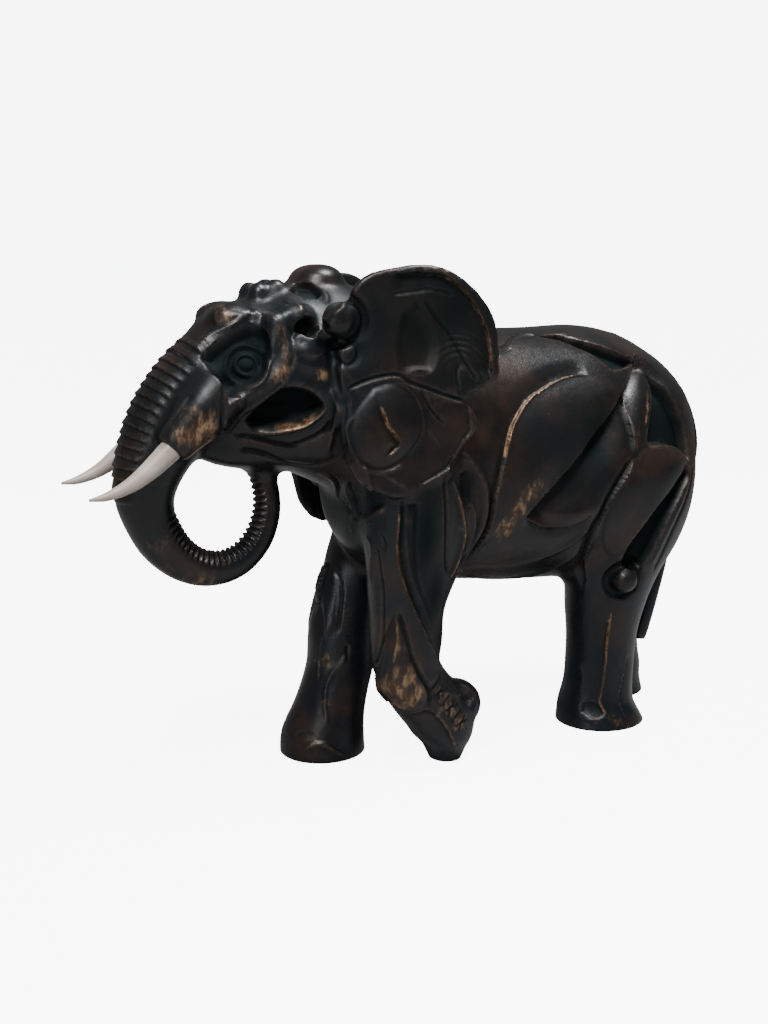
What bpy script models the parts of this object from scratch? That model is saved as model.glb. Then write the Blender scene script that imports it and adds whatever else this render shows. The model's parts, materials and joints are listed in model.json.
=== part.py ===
"""A walking elephant, cast in one in patinated bronze, with two pale tusks set in sockets.

The head looks along -X, its left flank faces -Y and the soles stand on the ground at z = 0.
The form is a figure: its pose and proportions are shares of STATUE_HEIGHT. The tables below
give each place in drawing units, of which DRAWN_HEIGHT make the height of the statue.
The tusks, their sockets and the gap between them have sizes of their own, in metres.
"""

import math

import bmesh
import bpy
import numpy as np
from mathutils import Vector
from mathutils.bvhtree import BVHTree

STATUE_HEIGHT = 0.338
DRAWN_HEIGHT = 338.0
UNIT = STATUE_HEIGHT / DRAWN_HEIGHT

TUSK_RADIUS = 0.007
TUSK_TIP_RADIUS = 0.0008
SOCKET_DEPTH = 0.012
SOCKET_GAP = 0.0004
SHEATH_WALL = 0.004
TUSK_SIDES = 14

MASS_VOXEL = 3.0 * UNIT
FORM_VOXEL = 2.0 * UNIT
SKIN_VOXEL = 1.6 * UNIT
MASS_SMOOTHING = 14
FORM_SMOOTHING = 5
SKIN_SMOOTHING = 1
RING_SIDES = 36
RINGS_PER_STATION = 5
BODY_TRIANGLES = 8400
CURVE_STEP = 0.7 * UNIT
NEAR, FAR = -1, 1

# The barrel and chest: x, lowest z, highest z, half width
TORSO = (
    (-44, 158, 232, 30),
    (-30, 140, 262, 48),
    (-5, 126, 288, 60),
    (30, 120, 297, 68),
    (70, 115, 295, 72),
    (110, 111, 295, 74),
    (150, 110, 296, 74),
    (185, 116, 289, 68),
    (212, 132, 275, 57),
    (232, 150, 261, 44),
    (248, 172, 242, 28),
    (257, 190, 226, 14),
)
# The skull and jaw, as the barrel
HEAD = (
    (-152, 254, 285, 11),
    (-145, 240, 293, 20),
    (-132, 226, 304, 30),
    (-116, 216, 311, 39),
    (-98, 211, 317, 45),
    (-80, 205, 325, 49),
    (-60, 196, 330, 52),
    (-40, 186, 328, 54),
    (-20, 178, 319, 55),
    (5, 172, 306, 54),
    (30, 180, 290, 44),
)
# Legs: z, centre x, centre y, radius along x, radius along y
NEAR_FORE_LEG = (
    (250, 4, -34, 34, 20),
    (225, 4, -38, 46, 30),
    (190, 1, -41, 43, 31),
    (160, -2, -41, 38, 28),
    (134, -5, -40, 33, 24),
    (110, -9, -39, 27, 22),
    (86, -9, -39, 26, 22),
    (70, -8, -39, 25, 22),
    (58, -4, -39, 22, 20),
)
FAR_FORE_LEG = (
    (250, 4, 34, 30, 20),
    (225, 9, 38, 38, 30),
    (190, 7, 38, 33, 30),
    (160, 0, 34, 28, 27),
    (135, -9, 30, 25, 25),
    (110, -17, 27, 25, 24),
    (85, -24, 25, 27, 24),
    (60, -29, 22, 25, 24),
    (33, -39, 19, 26, 26),
    (14, -46, 17, 30, 29),
    (-12, -46, 16, 31, 31),
)
NEAR_HIND_LEG = (
    (270, 182, -22, 28, 16),
    (245, 184, -34, 42, 26),
    (205, 184, -40, 46, 32),
    (170, 182, -40, 47, 33),
    (140, 178, -36, 44, 31),
    (115, 172, -30, 38, 29),
    (92, 169, -26, 33, 27),
    (68, 168, -24, 28, 25),
    (49, 167, -24, 27, 25),
    (30, 166, -24, 27, 25),
    (12, 164, -24, 30, 27),
    (-12, 164, -25, 31, 29),
)
FAR_HIND_LEG = (
    (270, 196, 26, 28, 16),
    (245, 196, 34, 40, 26),
    (205, 196, 40, 44, 32),
    (170, 198, 40, 44, 33),
    (140, 201, 36, 41, 31),
    (115, 205, 30, 35, 29),
    (92, 208, 27, 31, 27),
    (68, 210, 26, 28, 25),
    (49, 211, 26, 27, 25),
    (30, 212, 26, 28, 26),
    (22, 213, 26, 30, 27),
    (14, 212, 26, 29, 27),
    (-12, 214, 26, 34, 30),
)
# Tubes: x, y, z, radius across the bend, radius in the bend
BENT_FOOT = (
    (-10, -39, 84, 20, 21),
    (-7, -39, 68, 22, 23),
    (2, -39, 53, 22, 23),
    (13, -39, 40, 23, 23),
    (21, -39, 29, 23, 23),
    (25, -39, 19, 21, 20),
    (27, -39, 9, 17, 16),
    (28, -39, -4, 12, 11),
)
TRUNK = (
    (-112, 0, 275, 38, 33),
    (-135, 0, 263, 33, 30),
    (-155, 0, 241, 27, 26),
    (-167, 0, 219, 22, 22),
    (-173, 0, 200, 20, 19),
    (-172, 0, 183, 18, 17),
    (-163, 0, 164, 16, 15.5),
    (-149, 0, 150.5, 13.5, 13.5),
    (-132, 0, 144, 12, 12),
    (-114, 0, 147, 11, 11),
    (-100, 0, 159, 10.5, 10.5),
    (-93, 0, 175, 10, 10),
    (-92, 0, 190, 9.5, 9.5),
    (-96, 0, 205, 9, 9),
    (-103, 0, 220, 8, 8),
)
LIP = (
    (-70, 0, 222, 30, 16),
    (-95, 0, 220, 26, 13),
    (-115, 0, 220, 22, 11),
    (-128, 0, 220, 17, 8),
    (-136, 0, 221, 10, 5),
)
TAIL = (
    (182, 0, 284, 9, 7),
    (205, 0, 274, 9, 7),
    (228, 0, 261, 9, 7),
    (248, 0, 243, 9, 7),
    (262, 0, 219, 9, 7),
    (266, 0, 194, 9, 7),
    (259, 0, 165, 8.5, 7),
    (249, 0, 138, 8, 7),
    (241, 0, 110, 8, 7),
    (234, 0, 84, 8, 7),
    (227, 0, 60, 7.5, 7),
    (223, 0, 47, 7, 6.5),
)
# The heel of the lifted foot: centre, then radii
HEEL = (32, -39, 37, 17, 19, 17)
# Left tusk, from its root in the socket to its tip: x, distance from the middle, z
TUSK = (
    (-167, 33, 228),
    (-179, 34, 218),
    (-192, 34, 209),
    (-206, 34, 203.5),
    (-217, 34, 202),
)
SHEATH_ROOT = (-132, 27, 262)
# Round masses on the head, on both sides: centre x, distance from the middle, z, then three radii
HEAD_MASSES = (
    (-130, 9, 300, 10, 9, 8),
    (-115, 13, 307, 10, 9, 7),
    (-100, 8, 319, 7.5, 8, 8.5),
    (-87, 8, 321, 7.5, 8, 8),
    (-57, 13, 328, 18, 15, 11),
    (-98, 34, 287, 9, 9, 22),
    (-80, 41, 282, 14, 11, 14),
    (-86, 34, 305, 13, 10, 9),
)
HEAD_BALLS = (
    (-64, 53, 304, 11),
    (-61, 53.5, 285, 5.5),
)
LEG_BALL = (161, 56, 115, 10)
# The web behind the thighs, under the tail, as the trunk
WEB = (
    (222, 0, 214, 30, 20),
    (222, 0, 180, 24, 18),
    (220, 0, 150, 18, 15),
    (217, 0, 122, 12, 10),
)
# Outline of the left ear from the side: x, z
EAR_OUTLINE = (
    (-60, 312), (-58, 322), (-52, 329), (-44, 333), (-34, 335), (-22, 337), (-10, 337),
    (1, 334), (11, 328), (20, 320), (26, 312), (31, 303), (33, 294), (34, 285), (34, 276),
    (33, 266), (13, 254), (19, 247), (21, 235), (16, 229), (3, 213), (2, 207), (-20, 197),
    (-26, 193), (-38, 194), (-54, 203), (-62, 222), (-65, 240), (-66, 262), (-65, 290),
)
EAR_TOP = max(z for x, z in EAR_OUTLINE)
EAR_BOTTOM = min(z for x, z in EAR_OUTLINE)
EAR_MIDDLE = (-22, 268)
EAR_THICKNESS = 7
FAR_EAR_DROOP = 38
FAR_EAR_SHIFT = 11



def smooth_step(amount):
    t = np.clip(amount, 0, 1)
    return t * t * (3 - 2 * t)


def spline(points, per_span):
    """A Catmull-Rom curve through the rows of points, with per_span samples to a span."""
    rows = np.array(points, float)
    padded = np.vstack([2 * rows[0] - rows[1], rows, 2 * rows[-1] - rows[-2]])
    found = []
    for i in range(len(rows) - 1):
        a, b, c, d = padded[i:i + 4]
        for t in np.arange(per_span) / per_span:
            found.append(0.5 * (2 * b + (c - a) * t + (2 * a - 5 * b + 4 * c - d) * t**2
                                + (3 * b - a - 3 * c + d) * t**3))
    found.append(rows[-1])
    return np.array(found)


def link(name, mesh):
    obj = bpy.data.objects.new(name, mesh)
    bpy.context.scene.collection.objects.link(obj)
    return obj


def mesh_object(name, points, faces):
    mesh = bpy.data.meshes.new(name)
    mesh.from_pydata([tuple(p) for p in points], [], faces)
    form = bmesh.new()
    form.from_mesh(mesh)
    bmesh.ops.recalc_face_normals(form, faces=form.faces)
    form.to_mesh(mesh)
    form.free()
    return link(name, mesh)


def skin_rings(name, rings):
    """A closed body through rings of equally many points, with a fan at each end."""
    count, sides = len(rings), len(rings[0])
    points = np.vstack([*rings, rings[0].mean(0), rings[-1].mean(0)])
    faces = []
    for r in range(count - 1):
        for s in range(sides):
            a, b = r * sides + s, r * sides + (s + 1) % sides
            faces.append((a, b, b + sides, a + sides))
    first, last = count * sides, count * sides + 1
    for s in range(sides):
        n = (s + 1) % sides
        faces.append((first, n, s))
        faces.append((last, (count - 1) * sides + s, (count - 1) * sides + n))
    return mesh_object(name, points, faces)


def circle_of(sides):
    turns = np.arange(sides) * 2 * math.pi / sides
    return np.cos(turns), np.sin(turns)


def barrel(name, stations):
    """A body of upright elliptical rings set along X."""
    c, s = circle_of(RING_SIDES)
    rings = []
    for x, low, high, half in spline(stations, RINGS_PER_STATION) * UNIT:
        middle, tall = (low + high) / 2, (high - low) / 2
        rings.append(np.stack([np.full(RING_SIDES, x), half * c, middle + tall * s], 1))
    return skin_rings(name, rings)


def column(name, stations):
    """A body of level elliptical rings, one above another."""
    c, s = circle_of(RING_SIDES)
    rings = []
    for z, x, y, along, across in spline(stations, RINGS_PER_STATION) * UNIT:
        rings.append(np.stack([x + along * c, y + across * s, np.full(RING_SIDES, z)], 1))
    return skin_rings(name, rings)


def tube(name, rows, sides=RING_SIDES):
    """A body of elliptical rings square to a route, from rows in metres."""
    c, s = circle_of(sides)
    way = np.gradient(rows[:, :3], axis=0)
    way /= np.linalg.norm(way, axis=1)[:, None]
    rings = []
    for row, along in zip(rows, way):
        across = np.array((0, 1.0, 0)) - along * along[1]
        across /= np.linalg.norm(across)
        normal = np.cross(along, across)
        rings.append(row[:3] + np.outer(row[3] * c, across) + np.outer(row[4] * s, normal))
    return skin_rings(name, rings)


def drawn_tube(name, stations):
    return tube(name, spline(stations, RINGS_PER_STATION) * UNIT)


def lump(name, centre, radii):
    form = bmesh.new()
    bmesh.ops.create_icosphere(form, subdivisions=3, radius=1.0)
    for vertex in form.verts:
        vertex.co = (Vector([c * r for c, r in zip(vertex.co, radii)]) + Vector(centre)) * UNIT
    mesh = bpy.data.meshes.new(name)
    form.to_mesh(mesh)
    form.free()
    return link(name, mesh)


def settle(obj):
    """Turns the modifiers of an object into its mesh."""
    bpy.context.view_layer.update()
    shown = obj.evaluated_get(bpy.context.evaluated_depsgraph_get())
    mesh = bpy.data.meshes.new_from_object(shown)
    obj.modifiers.clear()
    obj.data = mesh


def fuse(name, parts, voxel, smoothing):
    """One skin over overlapping bodies, with its joins smoothed."""
    form = bmesh.new()
    for part in parts:
        form.from_mesh(part.data)
    mesh = bpy.data.meshes.new(name)
    form.to_mesh(mesh)
    form.free()
    obj = link(name, mesh)
    remesh = obj.modifiers.new("skin", "REMESH")
    remesh.mode = "VOXEL"
    remesh.voxel_size = voxel
    smooth = obj.modifiers.new("joins", "SMOOTH")
    smooth.factor = 0.5
    smooth.iterations = smoothing
    settle(obj)
    for part in parts:
        bpy.data.objects.remove(part)
    return obj


def ear_out(x, z):
    """How far the front of an ear stands from the middle at a place in its outline."""
    flare = 55 + 0.26 * (x + 66)
    dish = ((x - EAR_MIDDLE[0]) ** 2 + (z - EAR_MIDDLE[1]) ** 2) / 900
    return flare + 0.8 * dish


def ear_place(x, z, side):
    """Where a place in the drawn ear lies. The far ear hangs lower and further back."""
    if side == NEAR:
        return x, z
    hang = ((EAR_TOP - z) / (EAR_TOP - EAR_BOTTOM)) ** 3
    return x + FAR_EAR_SHIFT, z - FAR_EAR_DROOP * hang


def ear_plate(name, side):
    outline = np.array(EAR_OUTLINE, float)
    loop = spline(np.vstack([outline, outline[:1]]), 3)[:-1]
    middle = np.array(EAR_MIDDLE, float)
    spans = np.linspace(0.1, 1, 14)
    layers = []
    for thick in (0, EAR_THICKNESS):
        for span in (spans if thick == 0 else spans[::-1]):
            x, z = (middle + (loop - middle) * span).T
            out = ear_out(x, z) - thick
            x, z = ear_place(x, z, side)
            layers.append(np.stack([x, side * out, z], 1) * UNIT)
    return skin_rings(name, layers)


def tusk_rows(side, grow=0.0, root=0.0):
    """The route and radii of a tusk, thicker by grow and longer at its root by root."""
    points = np.array([(x, side * out, z) for x, out, z in TUSK]) * UNIT
    way = points[0] - points[1]
    way /= np.linalg.norm(way)
    points = np.vstack([points[0] + way * (SOCKET_DEPTH + root), points])
    route = spline(points, 4)
    along = np.linspace(0, 1, len(route))
    swell = np.clip((along - 0.2) / 0.8, 0, 1)
    radius = TUSK_RADIUS - (TUSK_RADIUS - TUSK_TIP_RADIUS) * swell**1.3 + grow
    return np.column_stack([route, radius, radius])


def tusk(name, side):
    return tube(name, tusk_rows(side), sides=TUSK_SIDES)


def sheath(name, side):
    """The sleeve of the cheek that holds a tusk."""
    mouth = np.array((TUSK[0][0], side * TUSK[0][1], TUSK[0][2])) * UNIT
    root = np.array((SHEATH_ROOT[0], side * SHEATH_ROOT[1], SHEATH_ROOT[2])) * UNIT
    lip = TUSK_RADIUS + SHEATH_WALL
    rows = [(*(mouth + (root - mouth) * share), radius, radius)
            for share, radius in ((0, lip), (0.25, lip * 1.2), (0.6, lip * 1.6), (1, lip * 1.75))]
    return tube(name, spline(rows, 6))


def read_points(mesh):
    flat = np.empty(len(mesh.vertices) * 3)
    mesh.vertices.foreach_get("co", flat)
    return flat.reshape(-1, 3)


def read_normals(mesh):
    flat = np.empty(len(mesh.vertices) * 3)
    mesh.vertex_normals.foreach_get("vector", flat)
    return flat.reshape(-1, 3)


class Skin:
    """The vertices of a dense mesh, carved along their normals."""

    def __init__(self, obj):
        self.mesh = obj.data
        self.points = read_points(self.mesh)
        self.normals = read_normals(self.mesh)
        self.tree = BVHTree.FromPolygons(
            self.points.tolist(), [tuple(face.vertices) for face in self.mesh.polygons])
        self.lift = np.zeros(len(self.points))

    def finish(self):
        moved = self.points + self.normals * self.lift[:, None]
        self.mesh.vertices.foreach_set("co", moved.ravel())
        self.mesh.update()

    def lay(self, drawn, side, closed=False):
        """A curve drawn on the side view, laid on that side of the skin, and the drawn curve."""
        rows = np.array(drawn, float)
        if closed:
            rows = np.vstack([rows, rows[:1]])
        smooth = spline(rows, 8) * UNIT
        steps = np.linalg.norm(np.diff(smooth, axis=0), axis=1)
        run = np.concatenate([[0], np.cumsum(steps)])
        even = np.linspace(0, run[-1], max(int(run[-1] / CURVE_STEP), 4))
        flat = np.stack([np.interp(even, run, smooth[:, k]) for k in (0, 1)], 1)
        found = []
        for x, z in flat:
            hit, normal, index, far = self.tree.ray_cast((x, side * 0.5, z), (0, -side, 0))
            if hit is not None:
                found.append((*hit, *normal))
        return np.array(found), flat

    def near_to(self, curve, side, reach):
        """The vertices within reach of a laid curve, with their nearest place on it."""
        low, high = curve[:, :3].min(0) - reach, curve[:, :3].max(0) + reach
        chosen = np.all((self.points > low) & (self.points < high), axis=1)
        chosen &= self.normals[:, 1] * side > -0.25
        index = np.flatnonzero(chosen)
        nearest, distance = closest(self.points[index], curve[:, :3])
        kept = distance < reach
        return index[kept], nearest[kept], distance[kept]

    def line(self, drawn, side, height, width):
        """A ridge, or with a height below zero a groove, along a drawn curve."""
        curve, flat = self.lay(drawn, side)
        index, nearest, distance = self.near_to(curve, side, width * UNIT * 2.5)
        ends = np.minimum(nearest, len(curve) - 1 - nearest) * CURVE_STEP / (LINE_FADE * UNIT)
        shape = np.exp(-((distance / (width * UNIT)) ** 2)) * smooth_step(ends + 0.1)
        self.lift[index] += height * UNIT * shape

    def plate(self, drawn, side, drop, slope, crest):
        """The edge of an overlapping plate: the skin on one side lies lower and climbs back."""
        curve, flat = self.lay(drawn, side)
        reach = abs(slope) * UNIT
        index, nearest, distance = self.near_to(curve, side, reach)
        way = np.gradient(curve[:, :3], axis=0)
        away = self.points[index] - curve[nearest, :3]
        across = np.cross(way[nearest], curve[nearest, 3:])
        turn = -side * math.copysign(1, slope)
        signed = np.sign((away * across).sum(1)) * distance * turn
        ends = np.minimum(nearest, len(curve) - 1 - nearest) * CURVE_STEP / (PLATE_FADE * UNIT)
        climb = 1 - smooth_step(np.maximum(signed, 0) / reach) ** 0.7
        fall = smooth_step(signed / (PLATE_STEP * UNIT) + 0.5) * climb
        rise = np.exp(-((signed / (1.6 * UNIT)) ** 2)) * (signed < 0)
        self.lift[index] += UNIT * (crest * rise - drop * fall) * smooth_step(ends + 0.05)

    def field(self, drawn, side, height, edge, dome):
        """A raised or sunk field inside an outline, with an edge and a dome or a bowl."""
        curve, flat = self.lay(drawn, side, closed=True)
        low, high = flat.min(0), flat.max(0)
        x, z = self.points[:, 0], self.points[:, 2]
        chosen = (x > low[0]) & (x < high[0]) & (z > low[1]) & (z < high[1])
        chosen &= self.normals[:, 1] * side > -0.1
        chosen &= abs(self.points[:, 1] - np.median(curve[:, 1])) < FIELD_DEPTH * UNIT
        index = np.flatnonzero(chosen)
        index = index[inside(flat, self.points[index][:, (0, 2)])]
        nearest, distance = closest(self.points[index], curve[:, :3])
        rise = smooth_step(distance / (edge * UNIT))
        deep = np.minimum(distance / distance.max(), 1)
        self.lift[index] += UNIT * (height * rise + dome * (1 - (1 - deep) ** 2))

    def turned(self, side, x, z, tall, profile):
        """A round form about a place: heights over the radius, taller than wide by tall."""
        hit, normal, index, far = self.tree.ray_cast((x * UNIT, side * 0.5, z * UNIT),
                                                     (0, -side, 0))
        away = self.points / UNIT - (x, 0, z)
        radius = np.hypot(away[:, 0], away[:, 2] / tall)
        chosen = (radius < profile[-1][0]) & (self.normals[:, 1] * side > -0.1)
        chosen &= abs(self.points[:, 1] - hit[1]) < FIELD_DEPTH / 2 * UNIT
        index = np.flatnonzero(chosen)
        fine = np.arange(0, profile[-1][0] + 0.1, 0.1)
        heights = np.interp(fine, *np.array(profile).T)
        eased = np.convolve(np.pad(heights, 6, mode="edge"), np.ones(13) / 13, mode="valid")
        self.lift[index] += UNIT * np.interp(radius[index], fine, eased)


def closest(points, curve):
    """For each point, the nearest place of a curve and how far it is."""
    nearest = np.empty(len(points), int)
    distance = np.empty(len(points))
    for start in range(0, len(points), 4000):
        part = slice(start, start + 4000)
        square = ((points[part, None] - curve[None]) ** 2).sum(2)
        nearest[part] = square.argmin(1)
        distance[part] = np.sqrt(square.min(1))
    return nearest, distance


def inside(outline, places):
    """Which places lie inside a closed outline."""
    crossed = np.zeros(len(places), bool)
    x, z = places[:, 0], places[:, 1]
    for (x0, z0), (x1, z1) in zip(outline, np.roll(outline, -1, axis=0)):
        if z0 == z1:
            continue
        spans = (z0 > z) != (z1 > z)
        crossed ^= spans & (x < (x1 - x0) * (z - z0) / (z1 - z0) + x0)
    return crossed


# Carving, as places x, z in the side view. A line is a route, a height (a groove below zero) and
# a width. A plate edge is a route drawn downwards, a drop, the slope on which the lower side
# climbs back (to the right where it is below zero) and the crest of the edge. A field is an
# outline, a height, the width of its edge and the height of the dome over it.
LINE_FADE = 6
PLATE_FADE = 10
PLATE_STEP = 1.3
FIELD_DEPTH = 40
FLANK_PLATES = (
    (((124, 264), (110, 264), (95, 261), (82, 256), (63, 244), (54, 233), (47, 212), (42, 185),
      (42, 168), (38, 151), (31, 134)), 2.6, 15, 0.6),
    (((178, 276), (163, 264), (135, 238), (113, 219), (88, 195), (66, 171)), 8.0, -30, 0.6),
    (((151, 208), (146, 197), (133, 176), (127, 153), (130, 136), (138, 105)), 2.8, 9, 1.2),
    (((202, 202), (188, 185), (174, 169), (159, 144), (154, 129)), 2.4, -10, 0.6),
    (((155, 254), (152, 244), (152, 219), (152, 209)), 2.6, 8, 0.6),
)
FLANK_FIELDS = (
    (((101, 289), (119, 290), (140, 284), (162, 276), (173, 271), (149, 266), (126, 281)),
     -7.0, 3, 0),
    (((183, 263), (195, 250), (207, 220), (207, 201), (193, 210), (165, 215), (169, 231)),
     -8.0, 3, 0),
    (((204, 199), (207, 190), (190, 161), (172, 121), (156, 127), (166, 156), (188, 185)),
     -6.0, 3, 0),
    (((155, 253), (171, 268), (183, 265), (169, 238), (158, 216), (152, 209), (152, 231)),
     0.6, 3, 3.0),
    (((112, 263), (82, 256), (54, 233), (42, 185), (38, 151), (64, 170), (88, 195), (113, 219),
      (146, 250), (134, 262)), 0, 4, 2.6),
    (((153, 209), (173, 214), (198, 207), (203, 202), (188, 185), (159, 144), (148, 134),
      (133, 160), (140, 188)), 0.5, 3, 3.2),
    (((67, 171), (94, 162), (121, 173), (114, 184), (90, 184)), 0, 3, 4.5),
)
HEAD_FIELDS = (
    (((-153, 276), (-145, 285), (-128, 295), (-112, 302), (-106, 300), (-104, 281), (-116, 264),
      (-134, 252), (-138, 271)), -7.0, 8, -2.0),
    (((-120, 243), (-113, 252), (-97, 264), (-85, 263), (-72, 252), (-79, 241), (-103, 234)),
     -7.0, 4, -3.0),
    (((-55, 318), (-42, 319), (-33, 312), (-33, 290), (-31, 272), (-44, 264), (-58, 268),
      (-50, 300)), -3.5, 7, -1.0),
)
HEAD_LINES = (
    (((-112, 305), (-102, 305), (-94, 288), (-104, 268), (-125, 255), (-134, 247)), 2.4, 4.2),
    (((-92, 289), (-85, 294), (-76, 294), (-67, 289)), 2.0, 3.0),
    (((-110, 236), (-90, 238), (-75, 247), (-73, 253)), 4.0, 2.4),
    (((-124, 232), (-107, 230), (-88, 226), (-71, 235), (-66, 244)), -3.0, 2.0),
    (((-120, 224), (-105, 221), (-74, 211), (-58, 219)), -2.0, 2.0),
)
# Turned forms on the head: centre, height over width, then heights over the radius
HEAD_TURNS = (
    (-118.5, 278, 1.15, ((0, 3.4), (3.2, 3.0), (5.6, 2.2), (8.6, 0.2), (11, 1.0), (12.2, 1.8),
                         (14.5, 0))),
    (-81, 299, 0.8, ((0, -5.5), (4, -5), (6.5, -2), (8.5, 0.6), (13, 0))),
    (-64, 303, 1.0, ((0, 0), (10.5, 0), (12.5, -3.8), (17, -0.6), (20, 0))),
)
EAR_PLATES = (
    (((-37, 331), (-24, 333), (-5, 332), (6, 326), (17, 312), (25, 294), (28, 266)), 2.8, 16, 0.9),
    (((-42, 253), (-34, 234), (-30, 227), (-41, 219)), 2.6, 9, 0.6),
)
EAR_FIELDS = (
    (((-16, 319), (-23, 314), (-31, 301), (-32, 280), (-29, 271), (-11, 269), (-3, 285),
      (-6, 297)), -5.0, 6, -1.5),
    (((-46, 262), (-34, 265), (-18, 252), (-15, 240), (-28, 218), (-41, 212), (-58, 228),
      (-58, 245)), 0.6, 2.5, 5.0),
)
EAR_LINES = (
    (((-36, 319), (-19, 321), (-12, 322), (5, 317)), -1.5, 1.4),
    (((-16, 317), (-5, 303), (7, 287), (15, 272), (20, 263)), -1.5, 1.4),
    (((-62, 262), (-45, 268), (-30, 270), (-11, 261), (14, 252)), -2.2, 1.6),
)
SHOULDER_LINES = (
    (((5, 203), (13, 188), (20, 161), (17, 145), (11, 133)), 1.8, 2.0),
    (((14, 219), (26, 207), (37, 178), (36, 161), (20, 134)), 2.4, 2.6),
)
LEG_PLATES = (
    (((-28, 191), (-27, 173), (-25, 143), (-12, 112), (8, 75), (28, 45), (34, 37)), 3.2, -12, 0.7),
    (((-16, 40), (-10, 43), (-3, 45), (7, 36), (15, 22), (20, 13)), 1.6, 9, 0.6),
)
LEG_FIELDS = (
    (((-25, 112), (-31, 93), (-31, 66), (-26, 54), (-12, 44), (-6, 48), (-5, 58), (-16, 78)),
     0.4, 3, 3.4),
)
HIND_LEG_PLATES = (
    (((156, 87), (156, 66), (155, 48), (151, 20), (155, 10)), 1.6, 14, 0.9),
)
FAR_HIND_SHIFT = 46
TRUNK_BANDS = 36
TRUNK_BEADS = 56
TRUNK_BAND_DEPTH = 1.6
TRUNK_BEAD_DEPTH = 1.0


def along_trunk(skin):
    """The vertices of the trunk: their share of its length, and how far they face outwards."""
    route = spline(TRUNK, 12) * UNIT
    run = np.concatenate([[0], np.cumsum(np.linalg.norm(np.diff(route[:, :3], axis=0), axis=1))])
    way = np.gradient(route[:, :3], axis=0)
    way /= np.linalg.norm(way, axis=1)[:, None]
    x, z = skin.points[:, 0], skin.points[:, 2]
    index = np.flatnonzero((x < -82 * UNIT) & (z < 292 * UNIT))
    nearest, distance = closest(skin.points[index], route[:, :3])
    away = skin.points[index] - route[nearest, :3]
    reached = distance < route[nearest, 3] * 1.35
    normal = np.cross((0, 1.0, 0), way[nearest])
    outward = (away * normal).sum(1) / np.maximum(distance, 1e-9)
    place = run[nearest] + (away * way[nearest]).sum(1)
    return index[reached], (place / run[-1])[reached], outward[reached]


def carve_trunk(skin):
    """Overlapping bands round the outside of the trunk, and beads along its inside."""
    index, share, outward = along_trunk(skin)
    front = smooth_step(outward * 2.6 - 0.6) * (1 - smooth_step((share - 0.34) * 14))
    front *= smooth_step((share - 0.045) * 30)
    bands = TRUNK_BAND_DEPTH * ((share * TRUNK_BANDS) % 1 - 0.5) * front
    inner = smooth_step(-outward * 3 - 0.8) * smooth_step((share - 0.42) * 20)
    inner *= 1 - smooth_step((share - 0.9) * 15)
    beads = TRUNK_BEAD_DEPTH * np.cos(2 * math.pi * share * TRUNK_BEADS) * inner
    skin.lift[index] += UNIT * (bands + beads)


def on_ear(route, side):
    """A route on an ear, moved with it where the ear hangs lower."""
    return [ear_place(x, z, side) for x, z in route]


def carve_side(skin, side):
    """The flank, head, shoulder and ear of one side."""
    for outline, height, edge, dome in FLANK_FIELDS + HEAD_FIELDS:
        skin.field(outline, side, height, edge, dome)
    for route, drop, slope, crest in FLANK_PLATES:
        skin.plate(route, side, drop, slope, crest)
    for route, height, width in HEAD_LINES + SHOULDER_LINES:
        skin.line(route, side, height, width)
    for x, z, tall, profile in HEAD_TURNS:
        skin.turned(side, x, z, tall, profile)
    for route, drop, slope, crest in EAR_PLATES:
        skin.plate(on_ear(route, side), side, drop, slope, crest)
    for outline, height, edge, dome in EAR_FIELDS:
        skin.field(on_ear(outline, side), side, height, edge, dome)
    for route, height, width in EAR_LINES:
        skin.line(on_ear(route, side), side, height, width)


def carve(obj):
    skin = Skin(obj)
    for side in (NEAR, FAR):
        carve_side(skin, side)
    for route, drop, slope, crest in LEG_PLATES:
        skin.plate(route, NEAR, drop, slope, crest)
    for outline, height, edge, dome in LEG_FIELDS:
        skin.field(outline, NEAR, height, edge, dome)
    for side, shift in ((NEAR, 0), (FAR, FAR_HIND_SHIFT)):
        for route, drop, slope, crest in HIND_LEG_PLATES:
            skin.plate([(x + shift, z) for x, z in route], side, drop, slope, crest)
    carve_trunk(skin)
    skin.finish()


def body():
    mass = fuse("mass", [
        barrel("torso", TORSO), barrel("head", HEAD),
        column("near_fore", NEAR_FORE_LEG), column("far_fore", FAR_FORE_LEG),
        column("near_hind", NEAR_HIND_LEG), column("far_hind", FAR_HIND_LEG),
        drawn_tube("trunk", TRUNK), drawn_tube("lip", LIP), drawn_tube("web", WEB),
    ], MASS_VOXEL, MASS_SMOOTHING)
    forms = [mass, drawn_tube("bent_foot", BENT_FOOT), drawn_tube("tail", TAIL)]
    forms.append(lump("heel", HEEL[:3], HEEL[3:]))
    for side in (NEAR, FAR):
        forms += [ear_plate("ear", side), sheath("sheath", side)]
        forms += [lump("head_mass", (x, side * out, z), radii)
                  for x, out, z, *radii in HEAD_MASSES]
    forms = fuse("forms", forms, FORM_VOXEL, FORM_SMOOTHING)
    balls = [lump("ball", (x, side * out, z), (radius,) * 3)
             for side in (NEAR, FAR) for x, out, z, radius in HEAD_BALLS]
    x, out, z, radius = LEG_BALL
    balls.append(lump("leg_ball", (x, -out, z), (radius,) * 3))
    return fuse("bronze_elephant", [forms] + balls, SKIN_VOXEL, SKIN_SMOOTHING)


def stand(obj):
    """Cuts flat soles at z = 0."""
    form = bmesh.new()
    form.from_mesh(obj.data)
    cut = bmesh.ops.bisect_plane(
        form, geom=form.verts[:] + form.edges[:] + form.faces[:], dist=1e-7,
        plane_co=(0, 0, 0), plane_no=(0, 0, -1), clear_outer=True)
    edges = [e for e in cut["geom_cut"] if isinstance(e, bmesh.types.BMEdge)]
    bmesh.ops.holes_fill(form, edges=edges, sides=0)
    bmesh.ops.recalc_face_normals(form, faces=form.faces)
    form.to_mesh(obj.data)
    form.free()


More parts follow.
